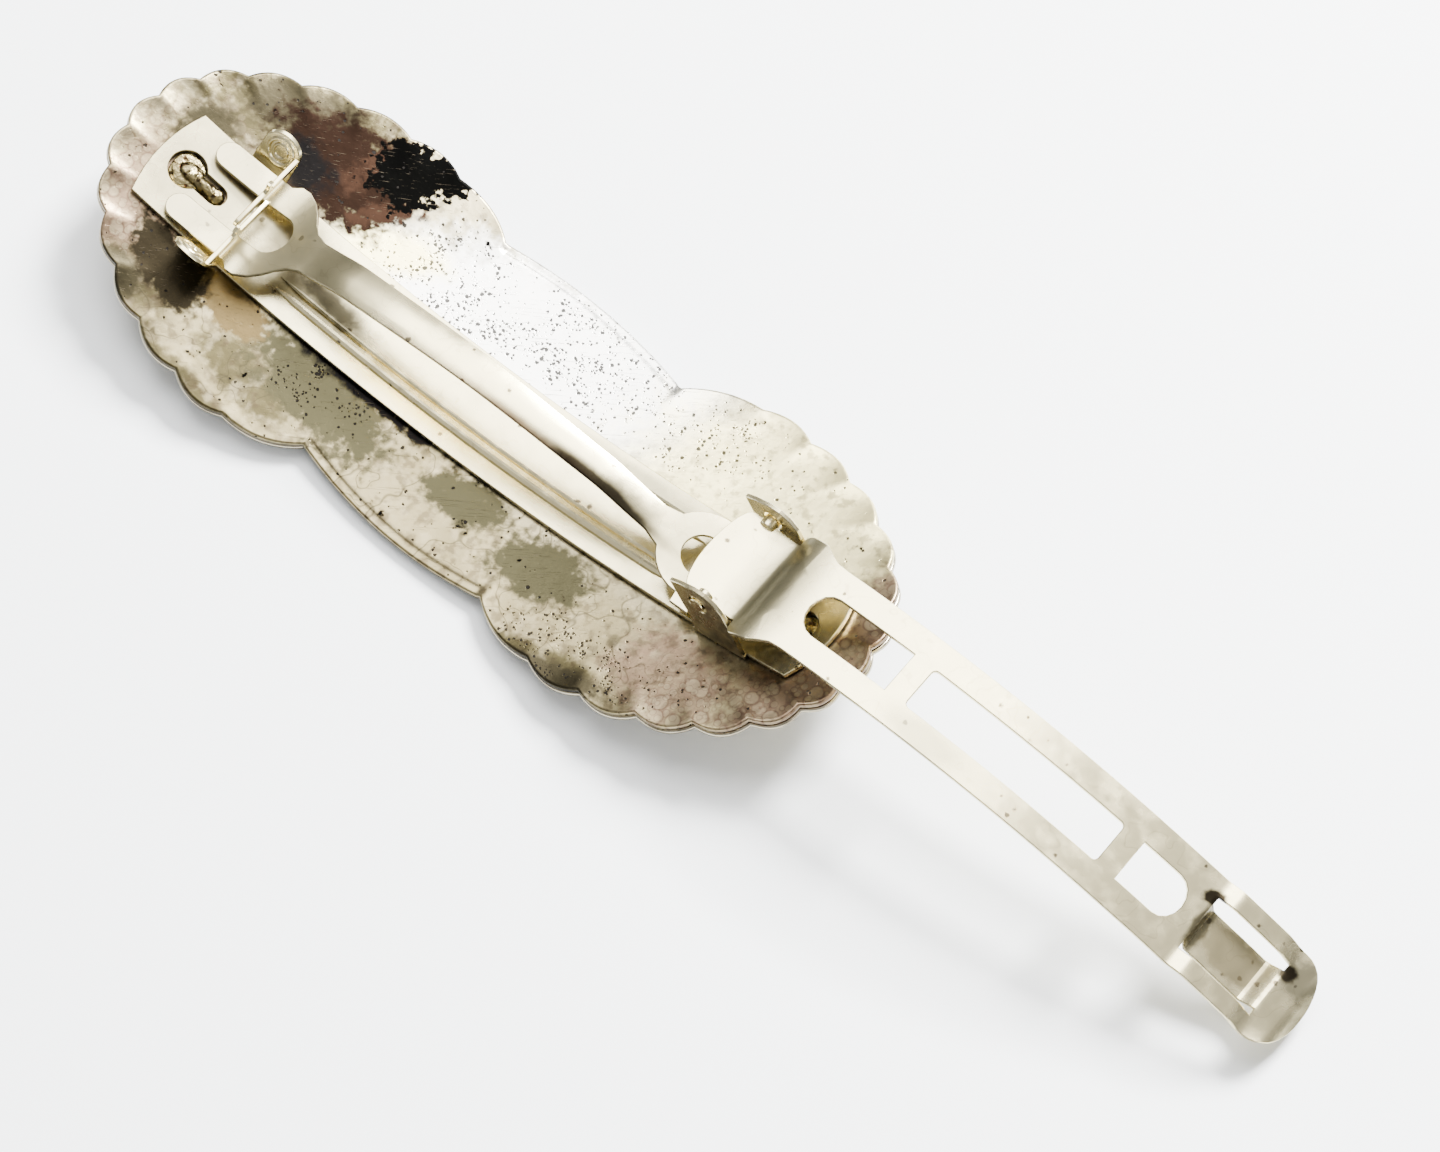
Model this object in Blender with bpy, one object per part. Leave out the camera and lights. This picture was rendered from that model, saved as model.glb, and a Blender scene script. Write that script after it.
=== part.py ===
"""A scalloped silver barrette on a sprung hair clip, lying on its convex front with the clasp arm open.

The clip runs along X, from the latch at -X to the hinge at +X; Y is across it and Z is up. The plate and
the clip are bent to one arc, so most shapes are drawn flat as (s, y, h): s along the arc, y across it and
h above the clip's floor. bend() carries them onto the arc. The arm is drawn closed and turned open.
"""

import math

import bmesh
import bpy
from mathutils import Matrix, Vector

MM = 0.001

# The arc of the clip, measured at the top face of its base.
CLIP_RADIUS = 120.0 * MM
FLOOR_Z = 2.1 * MM
SOLDER_GAP = 0.25 * MM

# Silver plate.
PLATE_LENGTH = 89.8 * MM
PLATE_WIDTH = 34.4 * MM
PLATE_THICKNESS = 0.6 * MM
LOBE_LENGTH = 47.6 * MM
NOTCH_HALF_SPAN = 11.2 * MM
NOTCH_DEPTH = 2.0 * MM
WAIST_BULGE = 1.3 * MM
WAIST_SKEW = 0.45 * MM
SCALLOPS_PER_LOBE = 15
SCALLOP_DEPTH = 0.85 * MM
END_SCALLOP_STRETCH = 1.28
PLATE_TURN = math.radians(-1.4)
PLATE_SHIFT = 0.5 * MM

# Raised shell under each lobe.
SHELL_THICKNESS = 0.5 * MM
SHELL_GAP = 0.2 * MM
DOME_DEPTH = 1.7 * MM
DOME_LENGTH = 30.0 * MM
DOME_WIDTH = 23.0 * MM
SHELL_INNER_BULGE = 2.2 * MM

# Clip base.
CLIP_LENGTH = 78.8 * MM
CLIP_WIDTH = 10.2 * MM
CLIP_SHEET = 0.5 * MM
LATCH_END_BULGE = 0.9 * MM
HINGE_END_BULGE = 1.2 * MM
RIB_SECTIONS = ((2.95 * MM, 0.8 * MM, 0.45 * MM), (1.85 * MM, 0.5 * MM, 0.3 * MM))
RIB_FROM_LATCH_END = 15.6 * MM
RIB_FROM_HINGE_END = 14.6 * MM
RIB_TAPER = 2.5 * MM
KEYHOLE_FROM_END = 2.4 * MM
KEYHOLE_RADIUS = 1.85 * MM
KEYHOLE_SLOT_WIDTH = 2.0 * MM
KEYHOLE_SLOT_REACH = 4.6 * MM
END_HOLE_FROM_END = 2.1 * MM
END_HOLE_RADIUS = 1.45 * MM

# Hinge.
PIVOT_FROM_END = 8.6 * MM
PIVOT_HEIGHT = 5.0 * MM
PIVOT_RADIUS = 0.8 * MM
PIVOT_CLEARANCE = 0.25 * MM
STUB_ROOT = 0.6 * MM
STUB_PROUD = 0.15 * MM
EAR_SHEET = 0.45 * MM
EAR_FOOT_BEHIND_PIVOT = 1.9 * MM
EAR_FOOT_PAST_PIVOT = 4.2 * MM
EAR_SIDE_CLEARANCE = 0.35 * MM
EAR_TOP_ABOVE_PIVOT = 2.3 * MM
EAR_BEAK_REACH = 3.0 * MM

# Clasp arm, as it lies when closed.
ARM_SHEET = 0.45 * MM
ARM_WIDTH = 9.5 * MM
ARM_HEIGHT = 4.25 * MM
ARM_LATCH_RISE = 0.35 * MM
ARM_OPENING = math.radians(187.0)
HEEL_WIDTH = 9.4 * MM
HEEL_REACH = 3.1 * MM
HEEL_ROUNDING = 1.4 * MM
CREASE_FROM_PIVOT = 3.1 * MM
CREASE_HEIGHT = 5.6 * MM
SHOULDER_WIDTH = 11.9 * MM
SHOULDER_FROM_PIVOT = 3.6 * MM
SHOULDER_LENGTH = 4.4 * MM
SHOULDER_CORNER = 0.7 * MM
WINDOW_WIDTH = 4.3 * MM
WINDOW_CORNER = 0.45 * MM
FIRST_WINDOW_FROM_PIVOT = 8.75 * MM
FIRST_WINDOW_LENGTH = 10.3 * MM
CROSSBAR = 2.3 * MM
LAST_WINDOW_LENGTH = 6.2 * MM
LAST_WINDOW_FROM_LATCH = 8.3 * MM
SLOT_LENGTH = 8.8 * MM
SLOT_CENTER_FROM_LATCH = 1.8 * MM
SLOT_WIDTH = 0.75 * MM
BRIDGE_WIDTH = 4.4 * MM
BRIDGE_RISE = 1.3 * MM
BRIDGE_RAMP_IN = 0.8 * MM
BRIDGE_RAMP_OUT = 1.7 * MM
RAIL_DROP = 0.55 * MM
RAIL_RAMP = 1.9 * MM
ARM_TIP_FROM_LATCH = 6.8 * MM
TIP_CURL = 0.6 * MM
TIP_ROUNDING = 3.6 * MM

# Latch: two sprung ears with a cross tab and a barb each.
LATCH_FROM_END = 10.0 * MM
LATCH_EAR_LENGTH = 4.1 * MM
LATCH_EAR_HEIGHT = 4.4 * MM
LATCH_EAR_CROWN = 0.38
LATCH_EAR_FOOT = 0.35 * MM
LATCH_EAR_FLARE = math.radians(26)
LATCH_SHEET = 0.45 * MM
LATCH_BOSS_RADIUS = 1.35 * MM
LATCH_BOSS_WIRE = 0.22 * MM
TAB_HEIGHT = 1.0 * MM
TAB_PAST_MIDDLE = 2.0 * MM
TAB_GAP = 0.3 * MM
BARB_WIDTH = 0.4 * MM
BARB_RISE = 1.5 * MM
BARB_HOOK = 0.32 * MM
LATCH_CLEARANCE = 0.3 * MM

# Tension bar.
BAR_SHEET = 0.42 * MM
RING_RADIUS = 4.25 * MM
RING_HOLE_RADIUS = 2.0 * MM
RING_FROM_PIVOT = 4.85 * MM
RING_HEIGHT = 1.7 * MM
RING_LUG_LENGTH = 2.0 * MM
BAR_ROOT_WIDTH = 2.9 * MM
BAR_WAIST_WIDTH = 3.9 * MM
BAR_CROWN_HEIGHT = 8.7 * MM
FORK_WIDTH = 11.0 * MM
FORK_ROOT = 7.5 * MM
FORK_MOUTH = 4.5 * MM
FORK_GAP = 4.3 * MM
PRONG_WIDTH = 2.7 * MM
PRONG_REACH = 6.9 * MM
PRONG_TIP_HEIGHT = 0.65 * MM
PRONG_ROOT_HEIGHT = 1.55 * MM
FORK_HEIGHT = 2.0 * MM
BAR_FOOT_HEIGHT = 3.2 * MM
RING_EDGE_HEIGHT = 0.9 * MM
FLEX_GAP = 0.25 * MM

# Solder.
SOLDER_SEAT_GAP = 0.2 * MM
SOLDER_HEIGHT = 0.5 * MM
SOLDER_CLEARANCE = 0.3 * MM

BEND_STEP = 3.0 * MM
ARM_BEND_STEP = 1.0 * MM
SHARP_ANGLE = math.radians(35)

HALF_CLIP = CLIP_LENGTH / 2
LATCH_S = -HALF_CLIP + LATCH_FROM_END
PIVOT_S = HALF_CLIP - PIVOT_FROM_END
RING_S = PIVOT_S - RING_FROM_PIVOT
CROWN_S = (RING_S + LATCH_S) / 2
PLATE_TOP = -CLIP_SHEET - SOLDER_GAP
PLATE_BOTTOM = PLATE_TOP - PLATE_THICKNESS
SHELL_TOP = PLATE_BOTTOM - SHELL_GAP
SHELL_BOTTOM = SHELL_TOP - SHELL_THICKNESS
EAR_INNER_Y = HEEL_WIDTH / 2 + EAR_SIDE_CLEARANCE
TAB_TOP = ARM_HEIGHT + ARM_LATCH_RISE * 0.8 - ARM_SHEET / 2 - RAIL_DROP - LATCH_CLEARANCE
SLOT_INNER_Y = BRIDGE_WIDTH / 2
SLOT_OUTER_Y = SLOT_INNER_Y + SLOT_WIDTH


# Placing points

def bend(s, y, h):
    """The world point of (s, y, h) on the clip's arc."""
    turn = s / CLIP_RADIUS
    reach = CLIP_RADIUS - h
    return Vector((reach * math.sin(turn), y, FLOOR_Z + CLIP_RADIUS - reach * math.cos(turn)))


PIVOT = bend(PIVOT_S, 0, PIVOT_HEIGHT)


def open_arm(s, y, h):
    """The world point of (s, y, h) on the closed arm, once the arm is turned open about its pivot."""
    turned = Matrix.Rotation(ARM_OPENING, 3, "Y") @ (bend(s, y, h) - PIVOT)
    return PIVOT + turned


def smooth_height(points):
    """h as a smooth function of s through points of rising s, which never overshoots between them."""
    xs = [p[0] for p in points]
    ys = [p[1] for p in points]
    last = len(points) - 1
    steps = [(ys[i + 1] - ys[i]) / (xs[i + 1] - xs[i]) for i in range(last)]
    slopes = [steps[0]]
    for before, after in zip(steps, steps[1:]):
        slopes.append(0.0 if before * after <= 0 else 2 * before * after / (before + after))
    slopes.append(steps[-1])

    def height(s):
        i = 0
        while i < last - 1 and s > xs[i + 1]:
            i += 1
        width = xs[i + 1] - xs[i]
        t = min(max((s - xs[i]) / width, 0.0), 1.0)
        rise = ys[i] * (1 + 2 * t) * (1 - t) ** 2 + ys[i + 1] * t * t * (3 - 2 * t)
        return rise + width * t * (1 - t) * (slopes[i] * (1 - t) - slopes[i + 1] * t)

    return height


# Outlines, as lists of (s, y)

def arc(center, radii, start, end, steps):
    """Points along an ellipse's arc, angles in radians, both ends included."""
    angles = [start + (end - start) * i / steps for i in range(steps + 1)]
    return [(center[0] + radii[0] * math.cos(a), center[1] + radii[1] * math.sin(a)) for a in angles]


def bulge(first, last, depth, steps):
    """Points from first to last along a shallow arc that bulges to the right of the way by depth."""
    way = (last[0] - first[0], last[1] - first[1])
    length = math.hypot(*way)
    side = (way[1] / length, -way[0] / length)
    points = []
    for i in range(steps + 1):
        t = i / steps
        out = depth * 4 * t * (1 - t)
        points.append((first[0] + way[0] * t + side[0] * out, first[1] + way[1] * t + side[1] * out))
    return points


def rounded_box(low, high, radius, steps=3):
    """A rectangle with rounded corners, anticlockwise."""
    corners = (
        (high[0] - radius, high[1] - radius, 0),
        (low[0] + radius, high[1] - radius, 90),
        (low[0] + radius, low[1] + radius, 180),
        (high[0] - radius, low[1] + radius, 270),
    )
    points = []
    for s, y, angle in corners:
        start = math.radians(angle)
        points += arc((s, y), (radius, radius), start, start + math.pi / 2, steps)
    return points


def lobe_valleys(side):
    """The valley points of one lobe, for side +1 from its notch at -Y round its end to its notch at +Y."""
    half_length = LOBE_LENGTH / 2
    valley_half_width = PLATE_WIDTH / 2 - SCALLOP_DEPTH
    center = PLATE_LENGTH / 2 - SCALLOP_DEPTH - half_length
    last_angle = math.pi - math.acos((center - NOTCH_HALF_SPAN) / half_length)
    weights = [END_SCALLOP_STRETCH] + [1.0] * (SCALLOPS_PER_LOBE - 2) + [END_SCALLOP_STRETCH]
    points = []
    passed = 0.0
    for weight in [0.0] + weights:
        passed += weight
        angle = last_angle * (2 * passed / sum(weights) - 1)
        s = center + half_length * math.cos(angle)
        points.append((side * s, side * valley_half_width * math.sin(angle)))
    notch_y = PLATE_WIDTH / 2 - NOTCH_DEPTH - WAIST_BULGE
    points[0] = (side * NOTCH_HALF_SPAN, -side * (notch_y + WAIST_SKEW))
    points[-1] = (side * NOTCH_HALF_SPAN, side * (notch_y - WAIST_SKEW))
    return points


def lobe_outline(side, steps=4):
    """The scalloped edge of one lobe, anticlockwise from notch to notch."""
    valleys = lobe_valleys(side)
    points = []
    for first, last in zip(valleys, valleys[1:]):
        points += bulge(first, last, SCALLOP_DEPTH, steps)[:-1]
    return points + [valleys[-1]]


def turned(points):
    """The outline set slightly askew on the clip, as the plate is soldered."""
    c, s = math.cos(PLATE_TURN), math.sin(PLATE_TURN)
    return [(x * c - y * s, x * s + y * c + PLATE_SHIFT) for x, y in points]


def plate_outline():
    right, left = lobe_outline(1), lobe_outline(-1)
    top = bulge(right[-1], left[0], WAIST_BULGE, 8)[1:-1]
    bottom = bulge(left[-1], right[0], WAIST_BULGE, 8)[1:-1]
    return turned(right + top + left + bottom)


def shell_outline(side):
    lobe = lobe_outline(side)
    return turned(lobe + bulge(lobe[-1], lobe[0], SHELL_INNER_BULGE, 8)[1:-1])


# Building solids

def new_material(name, color, metallic, roughness):
    material = bpy.data.materials.new(name)
    material.use_nodes = True
    shader = material.node_tree.nodes["Principled BSDF"]
    shader.inputs["Base Color"].default_value = (*color, 1)
    shader.inputs["Metallic"].default_value = metallic
    shader.inputs["Roughness"].default_value = roughness
    material.diffuse_color = (*color, 1)
    return material


def slice_mesh(bm, axis, places):
    """Adds edges where the mesh crosses each plane square to the axis."""
    normal = Vector([float(i == axis) for i in range(3)])
    for place in places:
        everything = bm.verts[:] + bm.edges[:] + bm.faces[:]
        bmesh.ops.bisect_plane(bm, geom=everything, dist=1e-7, plane_co=normal * place, plane_no=normal)


def steps_between(low, high, step):
    count = max(1, round((high - low) / step))
    return [low + (high - low) * i / count for i in range(1, count)]


def prism(loops, low, high):
    """A bmesh of flat outlines, holes among them, filled and extruded from low to high along Z."""
    bm = bmesh.new()
    for loop in loops:
        verts = [bm.verts.new((x, y, low)) for x, y in loop]
        for first, last in zip(verts, verts[1:] + verts[:1]):
            bm.edges.new((first, last))
    bmesh.ops.triangle_fill(bm, use_beauty=True, use_dissolve=False, edges=bm.edges[:])
    raised = bmesh.ops.extrude_face_region(bm, geom=bm.faces[:])
    for item in raised["geom"]:
        if isinstance(item, bmesh.types.BMVert):
            item.co.z = high
    return bm


def finish(bm, name, material, place, origin=Vector((0, 0, 0))):
    """Moves each vertex to place(s, y, h), then makes a named object with its origin where asked."""
    for vert in bm.verts:
        vert.co = place(*vert.co) - origin
    bmesh.ops.recalc_face_normals(bm, faces=bm.faces[:])
    mesh = bpy.data.meshes.new(name)
    bm.to_mesh(mesh)
    bm.free()
    mesh.materials.append(material)
    mesh.shade_smooth()
    mesh.set_sharp_from_angle(angle=SHARP_ANGLE)
    made = bpy.data.objects.new(name, mesh)
    made.location = origin
    bpy.context.scene.collection.objects.link(made)
    return made


def join(target, extras):
    """Unites the extra solids with target and removes them."""
    for extra in extras:
        union = target.modifiers.new("union", "BOOLEAN")
        union.operation = "UNION"
        union.object = extra
    bpy.context.view_layer.update()
    graph = bpy.context.evaluated_depsgraph_get()
    united = bpy.data.meshes.new_from_object(target.evaluated_get(graph))
    target.modifiers.clear()
    target.data = united
    united.shade_smooth()
    united.set_sharp_from_angle(angle=SHARP_ANGLE)
    for extra in extras:
        bpy.data.objects.remove(extra)


def sheet_across(loops, y_low, y_high):
    """A prism of outlines in (s, h), standing between two y planes, as a bmesh in (s, y, h)."""
    bm = prism(loops, y_low, y_high)
    for vert in bm.verts:
        vert.co = Vector((vert.co.x, vert.co.z, vert.co.y))
    return bm


def off_sheet(height, s, h):
    """(s, h) of a point that lies h off the sheet whose middle runs at height(s), square to it."""
    step = 0.1 * MM
    slope = (height(s + step) - height(s - step)) / (2 * step)
    length = math.hypot(1, slope)
    return s - h * slope / length, height(s) + h / length


# Plate and shells

def silver_plate(material):
    outline = plate_outline()
    bm = prism([outline], PLATE_BOTTOM, PLATE_TOP)
    slice_mesh(bm, 0, steps_between(-PLATE_LENGTH / 2, PLATE_LENGTH / 2, BEND_STEP))
    return finish(bm, "silver_plate", material, bend)


def front_shell(name, side, material):
    """The scalloped shell under one lobe, domed to the front and flattened where it lies on the table."""
    center = side * (PLATE_LENGTH / 2 - SCALLOP_DEPTH - LOBE_LENGTH / 2 + SHELL_INNER_BULGE / 2)
    bm = prism([shell_outline(side)], SHELL_BOTTOM, SHELL_TOP)
    ends = sorted((side * (NOTCH_HALF_SPAN - SHELL_INNER_BULGE), side * PLATE_LENGTH / 2))
    slice_mesh(bm, 0, steps_between(*ends, BEND_STEP))
    slice_mesh(bm, 1, steps_between(-PLATE_WIDTH / 2, PLATE_WIDTH / 2, BEND_STEP))

    def place(s, y, h):
        far = ((s - center) / (DOME_LENGTH / 2)) ** 2 + ((y - PLATE_SHIFT) / (DOME_WIDTH / 2)) ** 2
        point = bend(s, y, h - DOME_DEPTH * max(0.0, 1 - far) ** 1.5)
        point.z = max(point.z, 0.0)
        return point

    return finish(bm, name, material, place)


# Clip base

def base_outline():
    half = CLIP_WIDTH / 2
    wing = EAR_INNER_Y + EAR_SHEET
    wing_start, wing_end = PIVOT_S - EAR_FOOT_BEHIND_PIVOT, PIVOT_S + EAR_FOOT_PAST_PIVOT
    hinge_end = bulge((HALF_CLIP, -half), (HALF_CLIP, half), HINGE_END_BULGE, 8)
    latch_end = bulge((-HALF_CLIP, half), (-HALF_CLIP, -half), LATCH_END_BULGE, 8)
    upper_wing = [(wing_end, half), (wing_end, wing), (wing_start, wing), (wing_start, half)]
    lower_wing = [(s, -y) for s, y in reversed(upper_wing)]
    return latch_end + lower_wing + hinge_end + upper_wing


def keyhole(radius, slot_width, slot_reach, steps=18):
    """A round hole with a slot that runs toward the hinge."""
    center = -HALF_CLIP + KEYHOLE_FROM_END
    half = slot_width / 2
    mouth = math.asin(half / radius)
    circle = arc((center, 0), (radius, radius), mouth, 2 * math.pi - mouth, steps)
    return circle + arc((center + slot_reach - half, 0), (half, half), -math.pi / 2, math.pi / 2, 6)


def round_hole(center, radius, steps=20):
    return arc(center, (radius, radius), 0, 2 * math.pi, steps)[:-1]


def hinge_ear_outline():
    """One hinge ear in (s, h): a beak that leans toward the latch, a rounded crown and a sloping back."""
    top = PIVOT_HEIGHT + EAR_TOP_ABOVE_PIVOT
    foot = -CLIP_SHEET / 2
    return [
        (PIVOT_S - EAR_FOOT_BEHIND_PIVOT + 0.2 * MM, foot),
        (PIVOT_S + EAR_FOOT_PAST_PIVOT - 0.2 * MM, foot),
        (PIVOT_S + 3.6 * MM, PIVOT_HEIGHT * 0.5),
        (PIVOT_S + 3.1 * MM, top - 1.8 * MM),
        (PIVOT_S + 2.4 * MM, top - 0.8 * MM),
        (PIVOT_S + 1.3 * MM, top - 0.15 * MM),
        (PIVOT_S, top),
        (PIVOT_S - EAR_BEAK_REACH * 0.6, top - 0.3 * MM),
        (PIVOT_S - EAR_BEAK_REACH, top - 0.7 * MM),
        (PIVOT_S - EAR_BEAK_REACH * 0.75, PIVOT_HEIGHT * 0.75),
        (PIVOT_S - 1.75 * MM, PIVOT_HEIGHT * 0.4),
    ]


def rib(y, width, height, material):
    """A long bead on the base that narrows to a point at both ends."""
    low, high = -HALF_CLIP + RIB_FROM_LATCH_END, HALF_CLIP - RIB_FROM_HINGE_END
    section = arc((0, 0), (width / 2, height), 0, math.pi, 4)
    section += [(-width / 2, -CLIP_SHEET / 2), (width / 2, -CLIP_SHEET / 2)]
    bm = prism([section], low, high)
    for vert in bm.verts:
        vert.co = Vector((vert.co.z, vert.co.x, vert.co.y))
    tapers = [low + RIB_TAPER / 2, low + RIB_TAPER, high - RIB_TAPER, high - RIB_TAPER / 2]
    slice_mesh(bm, 0, tapers + steps_between(low + RIB_TAPER, high - RIB_TAPER, BEND_STEP))

    def place(s, across, h):
        full = min(1.0, 0.15 + min(s - low, high - s) / RIB_TAPER)
        return bend(s, y + across * full, h * full if h > 0 else h)

    return finish(bm, "rib", material, place)


def clip_base(material):
    holes = [
        keyhole(KEYHOLE_RADIUS, KEYHOLE_SLOT_WIDTH, KEYHOLE_SLOT_REACH),
        round_hole((HALF_CLIP - END_HOLE_FROM_END, 0), END_HOLE_RADIUS),
    ]
    bm = prism([base_outline()] + holes, -CLIP_SHEET, 0)
    slice_mesh(bm, 0, steps_between(-HALF_CLIP, HALF_CLIP, BEND_STEP))
    base = finish(bm, "clip_base", material, bend)
    extras = []
    for side in (-1, 1):
        low, high = sorted((side * EAR_INNER_Y, side * (EAR_INNER_Y + EAR_SHEET)))
        hole = round_hole((PIVOT_S, PIVOT_HEIGHT), PIVOT_RADIUS + PIVOT_CLEARANCE)
        ear = sheet_across([hinge_ear_outline(), hole], low, high)
        extras.append(finish(ear, "ear", material, bend))
        extras += [rib(side * y, width, height, material) for y, width, height in RIB_SECTIONS]
    join(base, extras)
    return base


# Latch ears

def ring_of_wire(center, turns=16, sides=6):
    """The raised ring on a latch ear, standing in the (s, h) plane."""
    bm = bmesh.new()
    loops = []
    for i in range(turns):
        turn = 2 * math.pi * i / turns
        loop = []
        for j in range(sides):
            roll = 2 * math.pi * j / sides
            reach = LATCH_BOSS_RADIUS + LATCH_BOSS_WIRE * math.cos(roll)
            s = center[0] + reach * math.cos(turn)
            h = center[2] + reach * math.sin(turn)
            loop.append(bm.verts.new((s, center[1] + LATCH_BOSS_WIRE * math.sin(roll), h)))
        loops.append(loop)
    for i, loop in enumerate(loops):
        after = loops[(i + 1) % turns]
        for j in range(sides):
            k = (j + 1) % sides
            bm.faces.new((loop[j], loop[k], after[k], after[j]))
    return bm


def latch_ear(name, side, material):
    """One sprung ear: a flared finger pad with a raised ring, a tab across the clip and a barb on the tab."""
    hinge_y = CLIP_WIDTH / 2
    foot = LATCH_EAR_FOOT
    tab_start = LATCH_S - side * (TAB_GAP + LATCH_SHEET) / 2 - LATCH_SHEET / 2
    end_s = tab_start + LATCH_SHEET + 0.05 * MM
    low_s = end_s - LATCH_EAR_LENGTH
    middle_s = (low_s + end_s) / 2
    slope = math.tan(LATCH_EAR_FLARE)

    def flare(s, y, h):
        return bend(s, side * (y + max(h - foot, 0.0) * slope), h)

    crown_height = LATCH_EAR_HEIGHT * LATCH_EAR_CROWN
    crown_center = (middle_s, foot + LATCH_EAR_HEIGHT - crown_height)
    crown = arc(crown_center, (LATCH_EAR_LENGTH / 2, crown_height), 0, math.pi, 10)
    pad = sheet_across([[(low_s, foot), (end_s, foot)] + crown], hinge_y, hinge_y + LATCH_SHEET)
    origin = bend(LATCH_S, side * hinge_y, foot)
    ear = finish(pad, name, material, flare, origin)

    boss_center = (middle_s, hinge_y + 0.02 * MM, foot + LATCH_EAR_HEIGHT * 0.6)
    extras = [finish(ring_of_wire(boss_center), "boss", material, flare)]

    outer_y = hinge_y + (TAB_TOP - TAB_HEIGHT - foot) * slope + LATCH_SHEET / 2
    hook_y = SLOT_OUTER_Y - LATCH_CLEARANCE / 2
    hook_top = TAB_TOP + BARB_RISE
    tab_outline = [
        (-TAB_PAST_MIDDLE, TAB_TOP - TAB_HEIGHT),
        (outer_y, TAB_TOP - TAB_HEIGHT),
        (outer_y + TAB_HEIGHT * slope, TAB_TOP),
        (hook_y, TAB_TOP),
        (hook_y, hook_top - 0.45 * MM),
        (hook_y + BARB_HOOK, hook_top - 0.35 * MM),
        (hook_y - BARB_WIDTH / 2, hook_top),
        (hook_y - BARB_WIDTH, hook_top),
        (hook_y - BARB_WIDTH, TAB_TOP),
        (-TAB_PAST_MIDDLE, TAB_TOP),
    ]
    tab = prism([tab_outline], tab_start, tab_start + LATCH_SHEET)
    for vert in tab.verts:
        vert.co = Vector((vert.co.z, side * vert.co.x, vert.co.y))
    extras.append(finish(tab, "tab", material, bend))
    join(ear, extras)
    return ear


# Tension bar

def bar_height():
    """The bar's height above the floor: low under the arm's heel, arched to the crown, low at the prongs."""
    crown = BAR_CROWN_HEIGHT
    return smooth_height([
        (LATCH_S - PRONG_REACH, PRONG_TIP_HEIGHT),
        (LATCH_S, PRONG_ROOT_HEIGHT),
        (LATCH_S + FORK_MOUTH / 2, FORK_HEIGHT),
        (LATCH_S + 7.5 * MM, crown * 0.52),
        (LATCH_S + 13.0 * MM, crown * 0.8),
        (CROWN_S, crown),
        (RING_S - 12.0 * MM, crown * 0.76),
        (RING_S - RING_RADIUS, BAR_FOOT_HEIGHT),
        (RING_S, RING_HEIGHT),
        (RING_S + RING_RADIUS, RING_EDGE_HEIGHT),
    ])


def bar_half_width(s):
    """Half the width of the plain strip between the ring and the fork."""
    t = (RING_S - s) / (RING_S - LATCH_S)
    return (BAR_ROOT_WIDTH + (BAR_WAIST_WIDTH - BAR_ROOT_WIDTH) * min(max(t, 0.0), 1.0)) / 2


def ring_half_outline():
    """The +Y edge of the ring end, from its middle line behind the ring to the cut at the crown."""
    lug_low, lug_high = RING_S + 0.4 * MM, RING_S + 0.4 * MM + RING_LUG_LENGTH
    lug_y = EAR_INNER_Y + EAR_SHEET / 2
    blend = math.asin(min(0.8, (bar_half_width(RING_S) + 0.5 * MM) / RING_RADIUS))
    around = arc((RING_S, 0), (RING_RADIUS, RING_RADIUS), 0, math.pi - blend, 14)
    before = [p for p in around if p[0] > lug_high]
    after = [p for p in around if p[0] < lug_low]
    lug = [(lug_high, lug_y), (lug_low, lug_y)]
    start = after[-1][0]
    strip = [(s, bar_half_width(s)) for s in (start - 1.6 * MM, CROWN_S + FLEX_GAP / 2)]
    return before + lug + after + strip


def fork_half_outline():
    """The +Y edge of the fork end, from the cut at the crown to the prong's tip and back inside the fork."""
    outer = FORK_WIDTH / 2
    inner = FORK_GAP / 2
    waist = bar_half_width(LATCH_S + FORK_ROOT)
    edge = [
        (CROWN_S - FLEX_GAP / 2, bar_half_width(CROWN_S)),
        (LATCH_S + FORK_ROOT, waist),
        (LATCH_S + FORK_ROOT - 1.1 * MM, waist + 0.4 * MM),
        (LATCH_S + FORK_ROOT - 1.9 * MM, waist + 1.1 * MM),
        (LATCH_S + FORK_ROOT - 2.7 * MM, waist + 2.1 * MM),
        (LATCH_S + FORK_ROOT - 3.7 * MM, outer - 0.6 * MM),
        (LATCH_S + FORK_ROOT - 4.9 * MM, outer),
        (LATCH_S + 1.7 * MM, outer),
        (LATCH_S + 0.9 * MM, inner + PRONG_WIDTH),
    ]
    round_tip = PRONG_WIDTH / 2
    tip_center = (LATCH_S - PRONG_REACH + round_tip, inner + round_tip)
    tip = arc(tip_center, (round_tip, round_tip), math.pi / 2, 3 * math.pi / 2, 8)
    mouth_depth = inner * 0.85
    mouth = arc((LATCH_S + FORK_MOUTH - mouth_depth, 0), (mouth_depth, inner), math.pi / 2, 0, 6)
    return edge + tip + mouth


def mirrored(half):
    """A closed outline from its +Y half, whose ends may lie on the middle line."""
    other = [(s, -y) for s, y in reversed(half) if abs(y) > 1e-7]
    return half + other


def tension_bar(name, loops, ends, origin, material):
    height = bar_height()
    bm = prism(loops, -BAR_SHEET / 2, BAR_SHEET / 2)
    slice_mesh(bm, 0, steps_between(*ends, BEND_STEP * 0.6))

    def place(s, y, h):
        along, up = off_sheet(height, s, h)
        return bend(along, y, up)

    return finish(bm, name, material, place, origin)


# Clasp arm

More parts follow.
